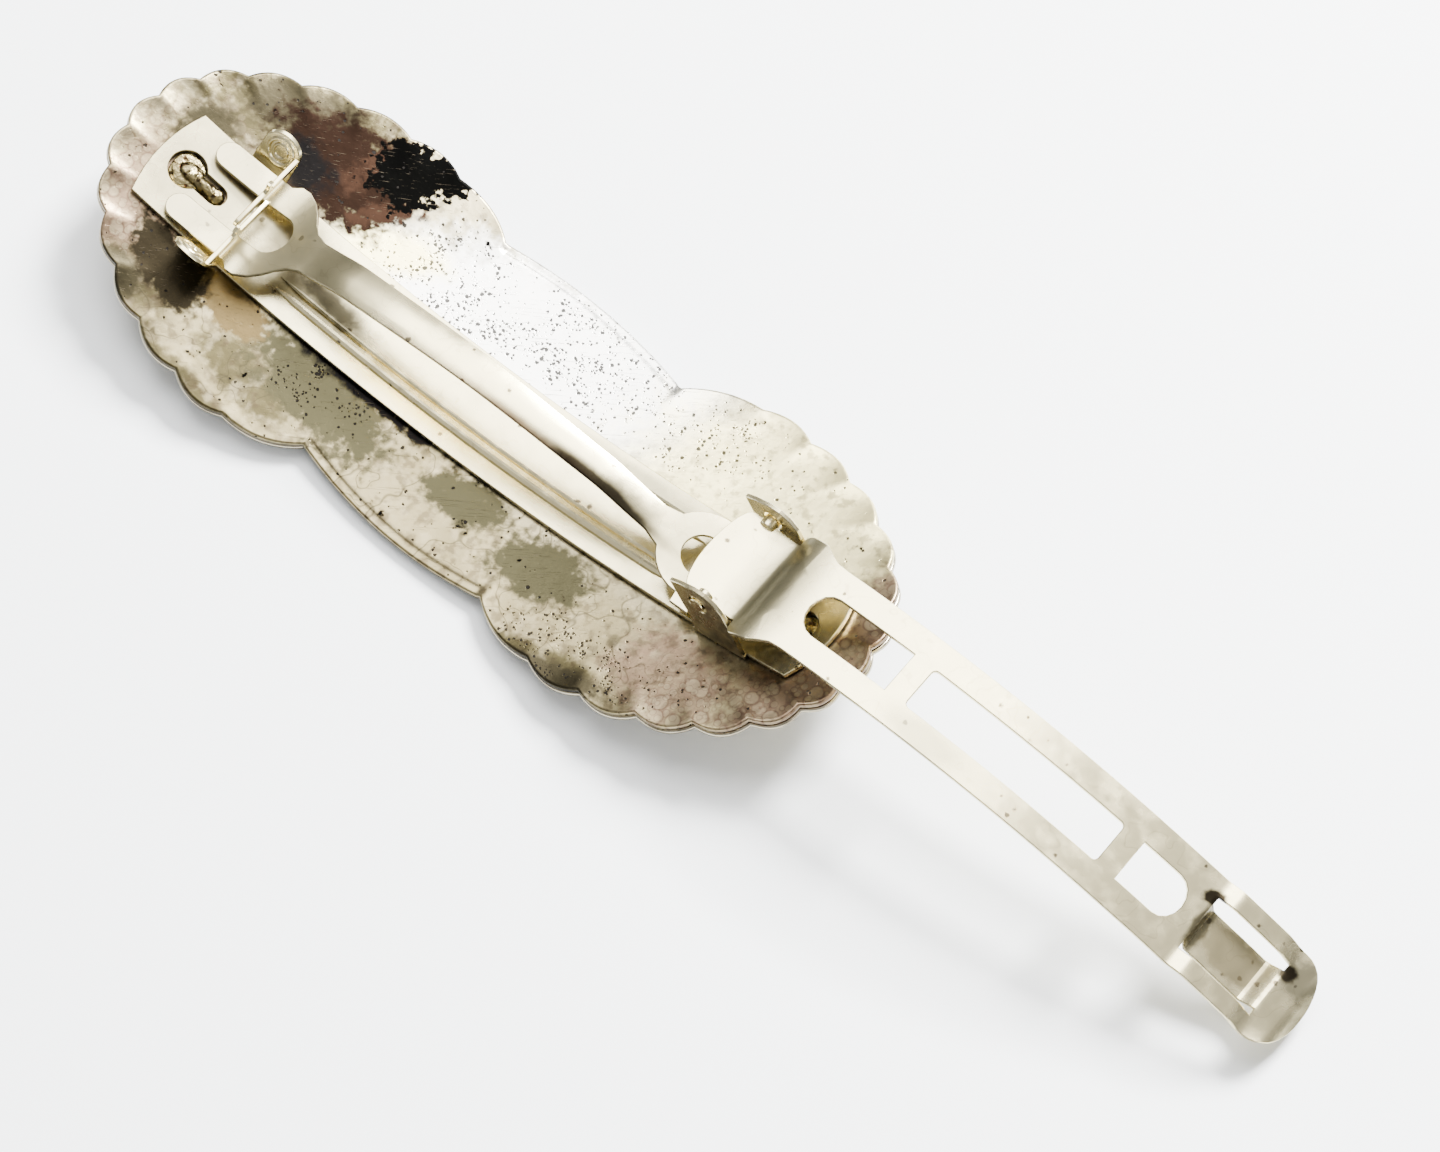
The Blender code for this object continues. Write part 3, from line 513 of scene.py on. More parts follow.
def silver_plate(material):
    right, left = lobe_outline(1), lobe_outline(-1)
    top = bulge(right[-1], left[0], WAIST_BULGE, WAIST_STEPS)[1:-1]
    bottom = bulge(left[-1], right[0], WAIST_BULGE, WAIST_STEPS)[1:-1]
    rim = right + top + left + bottom
    count, lobe = len(rim), len(right)
    inner = []
    for i, point in enumerate(rim):
        s = (point[0] + rim[(lobe - 1 - i) % count][0]) / 2
        inner.append((min(max(s, -SPINE_HALF_LENGTH), SPINE_HALF_LENGTH), 0.0))
    left_start = lobe + len(top)

    def height_at(s, y, index, depth):
        along = index if index < left_start else index - left_start
        h = PLATE_TOP
        if along < lobe:
            h += FLUTE_HEIGHT * (0.62 - crest_share(along)) * math.exp(-(depth / FLUTE_REACH) ** 2)
        else:
            h -= WAIST_BEVEL * (1 - smoothstep(BEVEL_START, BEVEL_END, depth))
        cover = smoothstep(CLIP_WIDTH * 0.51, CLIP_WIDTH * 0.735, abs(y))
        wave = noise.noise(Vector((s, y, 0)) / WAVE_LENGTH)
        wave += 0.45 * noise.noise(Vector((s, y, 9)) / RIPPLE_LENGTH)
        return h + PLATE_WAVES * wave * cover

    return ring_solid(rim, inner, height_at, PLATE_THICKNESS, "plate_back", material)


def front_shell(name, side, material):
    """The domed, fluted shell under one lobe, flattened where it lies on the table."""
    lobe = lobe_outline(side)
    rim = lobe + bulge(lobe[-1], lobe[0], SHELL_INNER_BULGE, WAIST_STEPS)[1:-1]
    center = side * (PLATE_LENGTH / 2 - SCALLOP_DEPTH - LOBE_LENGTH / 2 + SHELL_INNER_BULGE / 2)

    def height_at(s, y, index, depth):
        far = ((s - center) / (DOME_LENGTH / 2)) ** 2 + (y / (DOME_WIDTH / 2)) ** 2
        h = SHELL_TOP - DOME_DEPTH * max(0.0, 1 - far) ** 1.5
        if index < len(lobe):
            h += FLUTE_HEIGHT * (0.55 - crest_share(index)) * math.exp(-(depth / SHELL_FLUTE_REACH) ** 2)
        return h

    def place(s, y, h):
        point = bend(s, y, h)
        point.z = max(point.z, 0.0)
        return point

    return ring_solid(rim, [(center, 0.0)] * len(rim), height_at, SHELL_THICKNESS, name, material, place)


# Clip base

def base_outline():
    half = CLIP_WIDTH / 2
    wing = EAR_INNER_Y + EAR_SHEET
    wing_start, wing_end = PIVOT_S - EAR_FOOT_BEHIND_PIVOT, PIVOT_S + EAR_FOOT_PAST_PIVOT
    hinge_end = bulge((HALF_CLIP, -half), (HALF_CLIP, half), HINGE_END_BULGE, 8)
    latch_end = bulge((-HALF_CLIP, half), (-HALF_CLIP, -half), LATCH_END_BULGE, 8)
    upper_wing = [(wing_end, half), (wing_end, wing), (wing_start, wing), (wing_start, half)]
    lower_wing = [(s, -y) for s, y in reversed(upper_wing)]
    return latch_end + lower_wing + hinge_end + upper_wing


def keyhole():
    """A round hole with a slot that runs toward the hinge."""
    center = -HALF_CLIP + KEYHOLE_FROM_END
    half = KEYHOLE_SLOT_WIDTH / 2
    mouth = math.asin(half / KEYHOLE_RADIUS)
    circle = arc((center, 0), (KEYHOLE_RADIUS, KEYHOLE_RADIUS), mouth, 2 * math.pi - mouth, 40)
    return circle + arc((center + KEYHOLE_SLOT_REACH - half, 0), (half, half), -math.pi / 2, math.pi / 2, 6)


def round_hole(center, radius, steps):
    return arc(center, (radius, radius), 0, 2 * math.pi, steps)[:-1]


def hinge_ear_outline():
    """One hinge ear in (s, h): a beak that leans toward the latch, a rounded crown and a sloping back."""
    top = PIVOT_HEIGHT + EAR_TOP_ABOVE_PIVOT
    foot = -CLIP_SHEET / 2
    return [
        (PIVOT_S - EAR_FOOT_BEHIND_PIVOT + 0.2 * MM, foot),
        (PIVOT_S + EAR_FOOT_PAST_PIVOT - 0.2 * MM, foot),
        (PIVOT_S + 3.6 * MM, PIVOT_HEIGHT * 0.5),
        (PIVOT_S + 3.1 * MM, top - 1.8 * MM),
        (PIVOT_S + 2.4 * MM, top - 0.8 * MM),
        (PIVOT_S + 1.3 * MM, top - 0.15 * MM),
        (PIVOT_S, top),
        (PIVOT_S - EAR_BEAK_REACH * 0.6, top - 0.3 * MM),
        (PIVOT_S - EAR_BEAK_REACH, top - 0.7 * MM),
        (PIVOT_S - EAR_BEAK_REACH * 0.75, PIVOT_HEIGHT * 0.75),
        (PIVOT_S - 1.75 * MM, PIVOT_HEIGHT * 0.4),
    ]


def rib(y, width, height, material):
    """A long bead on the base that narrows to a point at both ends."""
    low, high = -HALF_CLIP + RIB_FROM_LATCH_END, HALF_CLIP - RIB_FROM_HINGE_END
    section = arc((0, 0), (width / 2, height), 0, math.pi, 4)
    section += [(-width / 2, -CLIP_SHEET / 2), (width / 2, -CLIP_SHEET / 2)]
    bm = profile_along(section, low, high)
    tapers = [low + RIB_TAPER / 2, low + RIB_TAPER, high - RIB_TAPER, high - RIB_TAPER / 2]
    slice_mesh(bm, 0, tapers + steps_between(low + RIB_TAPER, high - RIB_TAPER, BEND_STEP))

    def place(s, across, h):
        full = min(1.0, 0.15 + min(s - low, high - s) / RIB_TAPER)
        return bend(s, y + across * full, h * full if h > 0 else h)

    return finish(bm, "rib", material, place)


def clip_base(material):
    end_hole = round_hole((HALF_CLIP - END_HOLE_FROM_END, 0), END_HOLE_RADIUS, 40)
    bm = prism([base_outline(), keyhole(), end_hole], -CLIP_SHEET, 0)
    slice_mesh(bm, 0, steps_between(-HALF_CLIP, HALF_CLIP, FINE_STEP))
    base = finish(bm, "base", material, bend)
    extras = []
    for side in (-1, 1):
        ends = sorted((side * EAR_INNER_Y, side * (EAR_INNER_Y + EAR_SHEET)))
        hole = round_hole((PIVOT_S, PIVOT_HEIGHT), PIVOT_RADIUS + PIVOT_CLEARANCE, 32)
        extras.append(finish(sheet_across([hinge_ear_outline(), hole], *ends), "ear", material, bend))
        extras += [rib(side * y, width, height, material) for y, width, height in RIB_SECTIONS]
    return soft_normals(join(base, extras))


# Latch ears

def wire_ring(center, radius, wire):
    """A raised ring on a latch ear, standing in the (s, h) plane."""
    turns, sides = 48, 10
    bm = bmesh.new()
    loops = []
    for i in range(turns):
        turn = 2 * math.pi * i / turns
        loop = []
        for j in range(sides):
            roll = 2 * math.pi * j / sides
            reach = radius + wire * math.cos(roll)
            out = (reach * math.cos(turn), wire * math.sin(roll), reach * math.sin(turn))
            loop.append(bm.verts.new(Vector(center) + Vector(out)))
        loops.append(loop)
    for loop, after in zip(loops, loops[1:] + loops[:1]):
        for j in range(sides):
            k = (j + 1) % sides
            bm.faces.new((loop[j], loop[k], after[k], after[j]))
    return bm


def latch_ear(name, side, material):
    """One sprung ear: a flared finger pad with raised rings, a tab across the clip and a barb on it."""
    hinge_y = CLIP_WIDTH / 2
    foot = LATCH_EAR_FOOT
    tab_start = LATCH_S - side * (TAB_GAP + LATCH_SHEET) / 2 - LATCH_SHEET / 2
    end_s = tab_start + LATCH_SHEET + 0.05 * MM
    low_s = end_s - LATCH_EAR_LENGTH
    middle_s = (low_s + end_s) / 2
    slope = math.tan(LATCH_EAR_FLARE)

    def on_side(s, y, h):
        return bend(s, side * y, h)

    def flare(s, y, h):
        return on_side(s, y + max(h - foot, 0.0) * slope, h)

    crown_center = (middle_s, foot + LATCH_EAR_HEIGHT * (1 - LATCH_EAR_CROWN))
    crown_radii = (LATCH_EAR_LENGTH / 2, LATCH_EAR_HEIGHT * LATCH_EAR_CROWN)
    crown = arc(crown_center, crown_radii, 0, math.pi, 28)
    pad = sheet_across([[(low_s, foot), (end_s, foot)] + crown], hinge_y, hinge_y + LATCH_SHEET)
    ear = finish(pad, name, material, flare)
    boss_center = (middle_s, hinge_y + 0.02 * MM, foot + LATCH_EAR_HEIGHT * 0.6)
    extras = []
    for radius, wire in ((1.0, 1.0), (0.55, 0.8)):
        ring = wire_ring(boss_center, LATCH_BOSS_RADIUS * radius, LATCH_BOSS_WIRE * wire)
        extras.append(finish(ring, "boss", material, flare))

    outer_y = hinge_y + (TAB_TOP - TAB_HEIGHT - foot) * slope + LATCH_SHEET / 2
    hook_y = SLOT_OUTER_Y - LATCH_CLEARANCE / 2
    back_y = hook_y - BARB_WIDTH
    hook_top = TAB_TOP + BARB_RISE
    half_tab = TAB_HEIGHT / 2
    end_center = (-TAB_PAST_MIDDLE + half_tab, TAB_TOP - half_tab)
    tab_outline = arc(end_center, (half_tab, half_tab), math.pi / 2, 3 * math.pi / 2, 8) + [
        (outer_y, TAB_TOP - TAB_HEIGHT),
        (outer_y + TAB_HEIGHT * slope, TAB_TOP),
        (hook_y + 0.35 * MM, TAB_TOP),
        (hook_y, TAB_TOP + 0.3 * MM),
        (hook_y, hook_top - 0.45 * MM),
        (hook_y + BARB_HOOK, hook_top - 0.35 * MM),
        (hook_y - BARB_WIDTH / 2, hook_top),
        (back_y, hook_top),
        (back_y, TAB_TOP + 0.3 * MM),
        (back_y - 0.35 * MM, TAB_TOP),
    ]
    tab = profile_along(tab_outline, tab_start, tab_start + LATCH_SHEET)
    extras.append(finish(tab, "tab", material, on_side))
    return soft_normals(join(ear, extras))


# Tension bar

def bar_height():
    """The bar's height above the floor: low under the arm's heel, arched, and low at the prongs."""
    crown = BAR_CROWN_HEIGHT
    return smooth_height([
        (LATCH_S - PRONG_REACH, PRONG_TIP_HEIGHT),
        (LATCH_S, PRONG_ROOT_HEIGHT),
        (LATCH_S + FORK_MOUTH / 2, FORK_HEIGHT),
        (LATCH_S + 7.5 * MM, crown * 0.52),
        (LATCH_S + 13.0 * MM, crown * 0.8),
        (CROWN_S, crown),
        (RING_S - 12.0 * MM, crown * 0.76),
        (RING_S - RING_RADIUS, BAR_FOOT_HEIGHT),
        (RING_S, RING_HEIGHT),
        (RING_S + RING_RADIUS, RING_EDGE_HEIGHT),
    ])


def bar_half_width(s):
    """Half the width of the plain strip between the ring and the fork."""
    t = (RING_S - s) / (RING_S - LATCH_S)
    return (BAR_ROOT_WIDTH + (BAR_WAIST_WIDTH - BAR_ROOT_WIDTH) * min(max(t, 0.0), 1.0)) / 2


def ring_half_outline():
    """The +Y edge of the ring end, from its middle line behind the ring to the start of the strip."""
    lug_low = RING_S + 0.4 * MM
    lug_high = lug_low + RING_LUG_LENGTH
    lug_y = EAR_INNER_Y + EAR_SHEET / 2
    blend = math.asin(min(0.8, (bar_half_width(RING_S) + 0.5 * MM) / RING_RADIUS))
    around = arc((RING_S, 0), (RING_RADIUS, RING_RADIUS), 0, math.pi - blend, 14)
    before = [p for p in around if p[0] > lug_high]
    after = [p for p in around if p[0] < lug_low]
    lug = [(lug_high, lug_y), (lug_low, lug_y)]
    strip_s = after[-1][0] - 1.6 * MM
    return before + lug + after + [(strip_s, bar_half_width(strip_s))]


def fork_half_outline():
    """The +Y edge of the fork, from the strip to the prong's tip and back inside the fork."""
    outer = FORK_WIDTH / 2
    inner = FORK_GAP / 2
    root_s = LATCH_S + FORK_ROOT
    waist = bar_half_width(root_s)
    edge = [
        (root_s, waist),
        (root_s - 1.1 * MM, waist + 0.4 * MM),
        (root_s - 1.9 * MM, waist + 1.1 * MM),
        (root_s - 2.7 * MM, waist + 2.1 * MM),
        (root_s - 3.7 * MM, outer - 0.6 * MM),
        (root_s - 4.9 * MM, outer),
        (LATCH_S + 1.7 * MM, outer),
        (LATCH_S + 0.9 * MM, inner + PRONG_WIDTH),
    ]
    round_tip = PRONG_WIDTH / 2
    tip_center = (LATCH_S - PRONG_REACH + round_tip, inner + round_tip)
    tip = arc(tip_center, (round_tip, round_tip), math.pi / 2, 3 * math.pi / 2, 8)
    mouth_depth = inner * 0.85
    mouth = arc((LATCH_S + FORK_MOUTH - mouth_depth, 0), (mouth_depth, inner), math.pi / 2, 0, 6)
    return edge + tip + mouth


def mirrored(half):
    """A closed outline from its +Y half, whose ends may lie on the middle line."""
    other = [(s, -y) for s, y in reversed(half) if abs(y) > 1e-7]
    return half + other


def tension_bar(material):
    """The whole sprung strip in one piece, from the ring at the hinge to the forked tip at the latch."""
    height = bar_height()
    half_waist = BAR_WAIST_WIDTH / 2
    outline = mirrored(ring_half_outline() + fork_half_outline())
    bm = prism([outline, round_hole((RING_S, 0), RING_HOLE_RADIUS, 48)], -BAR_SHEET / 2, BAR_SHEET / 2)
    slice_mesh(bm, 0, steps_between(LATCH_S - PRONG_REACH, RING_S + RING_RADIUS, FINE_STEP))
    slice_mesh(bm, 1, [share * half_waist for share in (-0.8, -0.55, -0.25, 0, 0.25, 0.55, 0.8)])

    def place(s, y, h):
        strip = smoothstep(RING_S - RING_RADIUS + 1.0 * MM, RING_S - RING_RADIUS - 4.0 * MM, s)
        strip *= smoothstep(LATCH_S + FORK_ROOT - 2.0 * MM, LATCH_S + FORK_ROOT + 3.0 * MM, s)
        along, up = off_sheet(height, s, h - BAR_CROWNING * strip * (y / half_waist) ** 2)
        return bend(along, y, up)

    return soft_normals(finish(bm, "tension_bar", material, place))


# Clasp arm

def arm_height():
    return smooth_height([
        (LATCH_S - ARM_TIP_FROM_LATCH, ARM_HEIGHT + ARM_LATCH_RISE + TIP_CURL),
        (LATCH_S - ARM_TIP_FROM_LATCH + 2.0 * MM, ARM_HEIGHT + ARM_LATCH_RISE),
        (LATCH_S + LAST_WINDOW_FROM_LATCH, ARM_HEIGHT + ARM_LATCH_RISE * 0.7),
        (0.0, ARM_HEIGHT),
        (PIVOT_S - 9.0 * MM, ARM_HEIGHT),
        (PIVOT_S - 5.8 * MM, ARM_HEIGHT + 0.25 * MM),
        (PIVOT_S - CREASE_FROM_PIVOT, CREASE_HEIGHT),
        (PIVOT_S, PIVOT_HEIGHT),
        (PIVOT_S + HEEL_REACH, PIVOT_HEIGHT - 0.3 * MM),
    ])


def arm_half_outline():
    """The +Y edge of the arm, from behind the pivot to the tip."""
    heel, arm, shoulder = HEEL_WIDTH / 2, ARM_WIDTH / 2, SHOULDER_WIDTH / 2
    heel_s = PIVOT_S + HEEL_REACH
    first = PIVOT_S - SHOULDER_FROM_PIVOT
    last = first - SHOULDER_LENGTH
    tip_s = LATCH_S - ARM_TIP_FROM_LATCH
    round_end = arc((heel_s - HEEL_ROUNDING, 0), (HEEL_ROUNDING, heel), 0, math.pi / 2, 8)
    corner = SHOULDER_CORNER
    shoulders = arc((first - corner, shoulder - corner), (corner, corner), 0, math.pi / 2, 3)
    shoulders += [(last + 1.9 * MM, shoulder - 0.15 * MM), (last + 0.9 * MM, shoulder - 0.7 * MM),
                  (last, arm + 0.1 * MM), (last - 1.2 * MM, arm)]
    tip = arc((tip_s + TIP_ROUNDING, 0), (TIP_ROUNDING, arm), math.pi / 2, math.pi, 9)
    return round_end + [(first, heel)] + shoulders + tip


def arm_windows():
    half = WINDOW_WIDTH / 2
    first_high = PIVOT_S - FIRST_WINDOW_FROM_PIVOT
    first_low = first_high - FIRST_WINDOW_LENGTH
    last_low = LATCH_S + LAST_WINDOW_FROM_LATCH
    last_high = last_low + LAST_WINDOW_LENGTH
    rounding = half * 0.85
    first = [(first_low, -half), (first_high - rounding, -half)]
    first += arc((first_high - rounding, 0), (rounding, half), -math.pi / 2, math.pi / 2, 8)[1:]
    first += [(first_low, half)]
    long = rounded_box((last_high + CROSSBAR, -half), (first_low - CROSSBAR, half), WINDOW_CORNER)
    last = arc((last_low + rounding, 0), (rounding, half), math.pi / 2, 3 * math.pi / 2, 8)
    last = [(last_high, half)] + last + [(last_high, -half)]
    return [first, long, last]


def slot_ends():
    middle = LATCH_S + SLOT_CENTER_FROM_LATCH
    return middle - SLOT_LENGTH / 2, middle + SLOT_LENGTH / 2


def arm_slots():
    first, last = slot_ends()
    slots = []
    for side in (-1, 1):
        low, high = sorted((side * SLOT_INNER_Y, side * SLOT_OUTER_Y))
        slots.append([(first, low), (last, low), (last, high), (first, high)])
    return slots


def pressed_offset(s, y):
    """How far the sheet is pressed out at the latch: the bridge away from the base, the rails toward it."""
    first, last = slot_ends()
    if abs(y) <= SLOT_INNER_Y + 1e-6:
        rise = smoothstep(first - 0.2 * MM, first + BRIDGE_RAMP_OUT, s)
        return BRIDGE_RISE * min(rise, smoothstep(last + 0.2 * MM, last - BRIDGE_RAMP_IN, s))
    away = smoothstep(first - 0.4 * MM, first + RAIL_RAMP, s)
    away *= smoothstep(last + 0.4 * MM, last - RAIL_RAMP, s)
    return -RAIL_DROP * away * smoothstep(SLOT_INNER_Y, SLOT_OUTER_Y, abs(y))


def dished_tip(s, y):
    """The lip beyond the slots is dished like a spoon, its rim turned toward the hair."""
    first = slot_ends()[0]
    t = smoothstep(first + 0.6 * MM, LATCH_S - ARM_TIP_FROM_LATCH + 0.6 * MM, s)
    return -TIP_DISH * t * (y / (ARM_WIDTH / 2)) ** 2


def clasp_arm(material):
    height = arm_height()
    loops = [mirrored(arm_half_outline())] + arm_windows() + arm_slots()
    bm = prism(loops, -ARM_SHEET / 2, ARM_SHEET / 2)
    tip_s = LATCH_S - ARM_TIP_FROM_LATCH
    slice_mesh(bm, 1, [side * y for side in (-1, 1) for y in (SLOT_INNER_Y, SLOT_OUTER_Y)])
    slice_mesh(bm, 0, steps_between(tip_s, slot_ends()[1] + 0.6 * MM, PRESS_STEP))
    slice_mesh(bm, 1, [side * y * MM for side in (-1, 1) for y in (0, 1.2, 3.4, 3.9, 4.3)])
    slice_mesh(bm, 0, steps_between(tip_s, PIVOT_S + HEEL_REACH, FINE_STEP))

    def place(s, y, h):
        along, up = off_sheet(height, s, h)
        return open_arm(along, y, up + pressed_offset(s, y) + dished_tip(s, y))

    arm = finish(bm, "arm", material, place)
    pins = []
    for side in (-1, 1):
        ends = sorted((side * (HEEL_WIDTH / 2 - STUB_ROOT), side * (EAR_INNER_Y + EAR_SHEET + STUB_PROUD)))
        pin = sheet_across([round_hole((PIVOT_S, PIVOT_HEIGHT), PIVOT_RADIUS, 32)], *ends)
        pins.append(finish(pin, "pin", material, open_arm))
    return soft_normals(join(arm, pins))


# Solder

def solder_lump(name, drops, material, seed):
    """Solder that ran together from a few drops, each (s, y, half length, half width, top height)."""
    low = PLATE_TOP + SOLDER_SEAT_GAP
    parts = []
    for index, (center_s, center_y, half_length, half_width, top) in enumerate(drops):
        bm = bmesh.new()
        bmesh.ops.create_uvsphere(bm, u_segments=40, v_segments=20, radius=1.0)
        for vert in bm.verts:
            x, y, z = vert.co
            swell = 1 + SOLDER_SWELL * noise.noise(vert.co * 1.7 + Vector((seed, index, 0)))
            h = low + (top - low) * max(0.0, z) * swell + SOLDER_FOOT * min(0.0, z)
            vert.co = (center_s + x * half_length * swell, center_y + y * half_width * swell, h)
        bmesh.ops.remove_doubles(bm, verts=bm.verts[:], dist=1e-7)
        parts.append(finish(bm, name, material, bend))
    return join(parts[0], parts[1:])


# Materials

class Surface:
    """Builds one metal's nodes. Places and sizes are millimetres in the clip's own frame."""

    def __init__(self, name, color, roughness):
        self.material = bpy.data.materials.new(name)
        self.material.use_nodes = True
        self.tree = self.material.node_tree
        self.shader = self.tree.nodes["Principled BSDF"]
        self.shader.inputs["Metallic"].default_value = 1
        self.color = (*color, 1)
        self.roughness = roughness
        self.height = 0.0
        place = self.add("ShaderNodeTexCoord").outputs["Object"]
        origin = tuple(-SHIFT / MM)
        moved = self.add("ShaderNodeMapping", Location=origin, Scale=(1 / MM,) * 3, Vector=place)
        self.place = moved.outputs["Vector"]

    def add(self, kind, **inputs):
        """A node whose named inputs are set to a value or linked to a socket."""
        made = self.tree.nodes.new(kind)
        for key, value in inputs.items():
            self.put(made.inputs[key.replace("_", " ")], value)
        return made

    def put(self, socket, value):
        if isinstance(value, bpy.types.NodeSocket):
            self.tree.links.new(value, socket)
        else:
            socket.default_value = value

    def math(self, operation, *values):
        made = self.add("ShaderNodeMath")
        made.operation = operation
        for socket, value in zip(made.inputs, values):
            self.put(socket, value)
        return made.outputs[0]

    def product(self, *values):
        result = values[0]
        for value in values[1:]:
            result = self.math("MULTIPLY", result, value)
        return result

    def fade(self, value, low, high):
        """0 at low and 1 at high, with soft ends. High may be under low."""
        flip = low > high
        made = self.add("ShaderNodeMapRange", Value=value, From_Min=min(low, high), From_Max=max(low, high))
        made.interpolation_type = "SMOOTHSTEP"
        made.inputs["To Min"].default_value = float(flip)
        made.inputs["To Max"].default_value = float(not flip)
        return made.outputs[0]

    def oval(self, center, sizes, turn=0.0):
        """The place measured from a center in units of sizes, along axes turned about Z."""
        made = self.add("ShaderNodeMapping", Vector=self.place)
        made.vector_type = "TEXTURE"
        made.inputs["Location"].default_value = center
        made.inputs["Rotation"].default_value = (0, 0, turn)
        made.inputs["Scale"].default_value = sizes
        return made.outputs["Vector"]

    def attribute(self, name):
        made = self.add("ShaderNodeAttribute")
        made.attribute_name = name
        return made.outputs["Fac"]

    def noise(self, size, seed, detail, turn=0.0):
        """Noise whose lumps are about size wide, one number or one for each axis."""
        sizes = size if isinstance(size, tuple) else (size,) * 3
        place = self.oval((seed * 17.3, seed * 9.1, seed * 5.7), sizes, turn)
        return self.add("ShaderNodeTexNoise", Vector=place, Scale=1.0, Detail=detail).outputs["Fac"]

    def cells(self, size, seed):
        """Distance to the nearest cell's centre, and a random value for that cell."""
        place = self.oval((seed * 17.3, seed * 9.1, seed * 5.7), (size,) * 3)
        made = self.add("ShaderNodeTexVoronoi", Vector=place, Scale=1.0)
        return made.outputs["Distance"], made.outputs["Color"]

    def patch(self, center, radii, turn, edge, ragged, grain, seed):
        """1 inside an oval patch and 0 outside, with an uneven edge."""
        away = self.add("ShaderNodeVectorMath")
        away.operation = "LENGTH"
        self.put(away.inputs[0], self.oval((*center, 0), (*radii, 1000), math.radians(turn)))
        uneven = self.math("SUBTRACT", self.noise(grain, seed, 5), 0.5)
        rough = self.math("MULTIPLY", uneven, 2.6 * ragged)
        return self.fade(self.math("ADD", away.outputs["Value"], rough), 1 + edge, 1 - edge)

    def specks(self, size, keep, seed, radius):
        """Small pits: one in some of the cells, the share of cells set by keep, which may be a socket."""
        distance, random = self.cells(size, seed)
        split = self.add("ShaderNodeSeparateColor", Color=random)
        wanted = self.math("LESS_THAN", split.outputs[0], keep)
        width = self.math("MULTIPLY", split.outputs[1], radius)
        ragged = self.math("MULTIPLY_ADD", self.noise(size * 0.5, seed + 2, 2), 0.5, distance)
        return self.product(wanted, self.fade(self.math("SUBTRACT", ragged, width), 0.40, 0.28))

    def outline(self, size, level, width, seed):
        """A thin wandering line, where a slow noise passes a level."""
        away = self.math("ABSOLUTE", self.math("SUBTRACT", self.noise(size, seed, 2), level))
        return self.fade(away, width, 0)

    def mix(self, kind, slots, amount, before, after):
        made = self.add("ShaderNodeMix")
        made.data_type = kind
        for slot, value in zip((0, *slots), (amount, before, after)):
            self.put(made.inputs[slot], value)
        return made

    def paint(self, color, *amounts):
        """Lays a color over what is there, as much as the product of the amounts."""
        made = self.mix("RGBA", (6, 7), self.product(*amounts), self.color, (*color, 1))
        self.color = made.outputs[2]

    def roughen(self, value, *amounts):
        made = self.mix("FLOAT", (2, 3), self.product(*amounts), self.roughness, value)
        self.roughness = made.outputs[0]

    def raise_by(self, value, share):
        self.height = self.math("ADD", self.height, self.math("MULTIPLY", value, share))

    def done(self, bump_depth):
        self.put(self.shader.inputs["Base Color"], self.color)
        self.put(self.shader.inputs["Roughness"], self.roughness)
        bump = self.add("ShaderNodeBump", Height=self.height, Distance=bump_depth, Strength=1.0)
        self.put(self.shader.inputs["Normal"], bump.outputs["Normal"])
        return self.material


# Stains on the plate, and painted light among them, in the order they lie: color, edge, raggedness, how
# much
# each covers, and where it lies as ovals: s, y, half length, half width, and turn in degrees
GROUND_STAINS_AND_HIGHLIGHT = {
    "polished": ((0.86, 0.84, 0.78), 0.3, 0.6, 1.1, (
        (-1, 9, 20, 8, 12),
    )),
    # The cream layer is partly a pale tint and partly a painted highlight, made bright and full where the
    # lamps are reflected.
    "cream_and_highlight": ((0.93, 0.82, 0.42), 0.45, 0.6, 1.4, (
        (29, 9, 16, 10, 0), (-18.5, 7.2, 5.5, 2.2, 25), (33, -13, 5, 5, 0),
    )),
    "tan": ((0.2, 0.165, 0.085), 0.35, 0.6, 0.85, (
        (-34, -4, 10, 15, 0), (-22, -13, 12, 6, -8), (-9, -12, 9, 4, -5), (3, -11.5, 17, 5.5, 0),
        (26, -12, 15, 6, 6), (42, 5, 3.5, 7, 15),
    )),
    "pink": ((0.185, 0.125, 0.08), 0.35, 0.8, 0.85, (
        (-36, -4, 5.5, 8, 0), (30.5, -10.5, 6, 4.5, 6), (41, -7, 5.5, 8.5, 0), (42, 4.5, 2.6, 5.0, 20),
    )),
    "olive": ((0.055, 0.046, 0.022), 0.3, 0.6, 1.0, (
        (-32, 11, 12, 6, 25), (-36.5, 3, 4.2, 4.4, 40), (-34.5, -12.5, 5.5, 3.6, 30),
        (-23.5, -16.2, 10, 1.9, -6), (19, -16, 6.5, 1.6, 12), (-19.5, -11.2, 6.5, 2.6, -8),
    )),
}

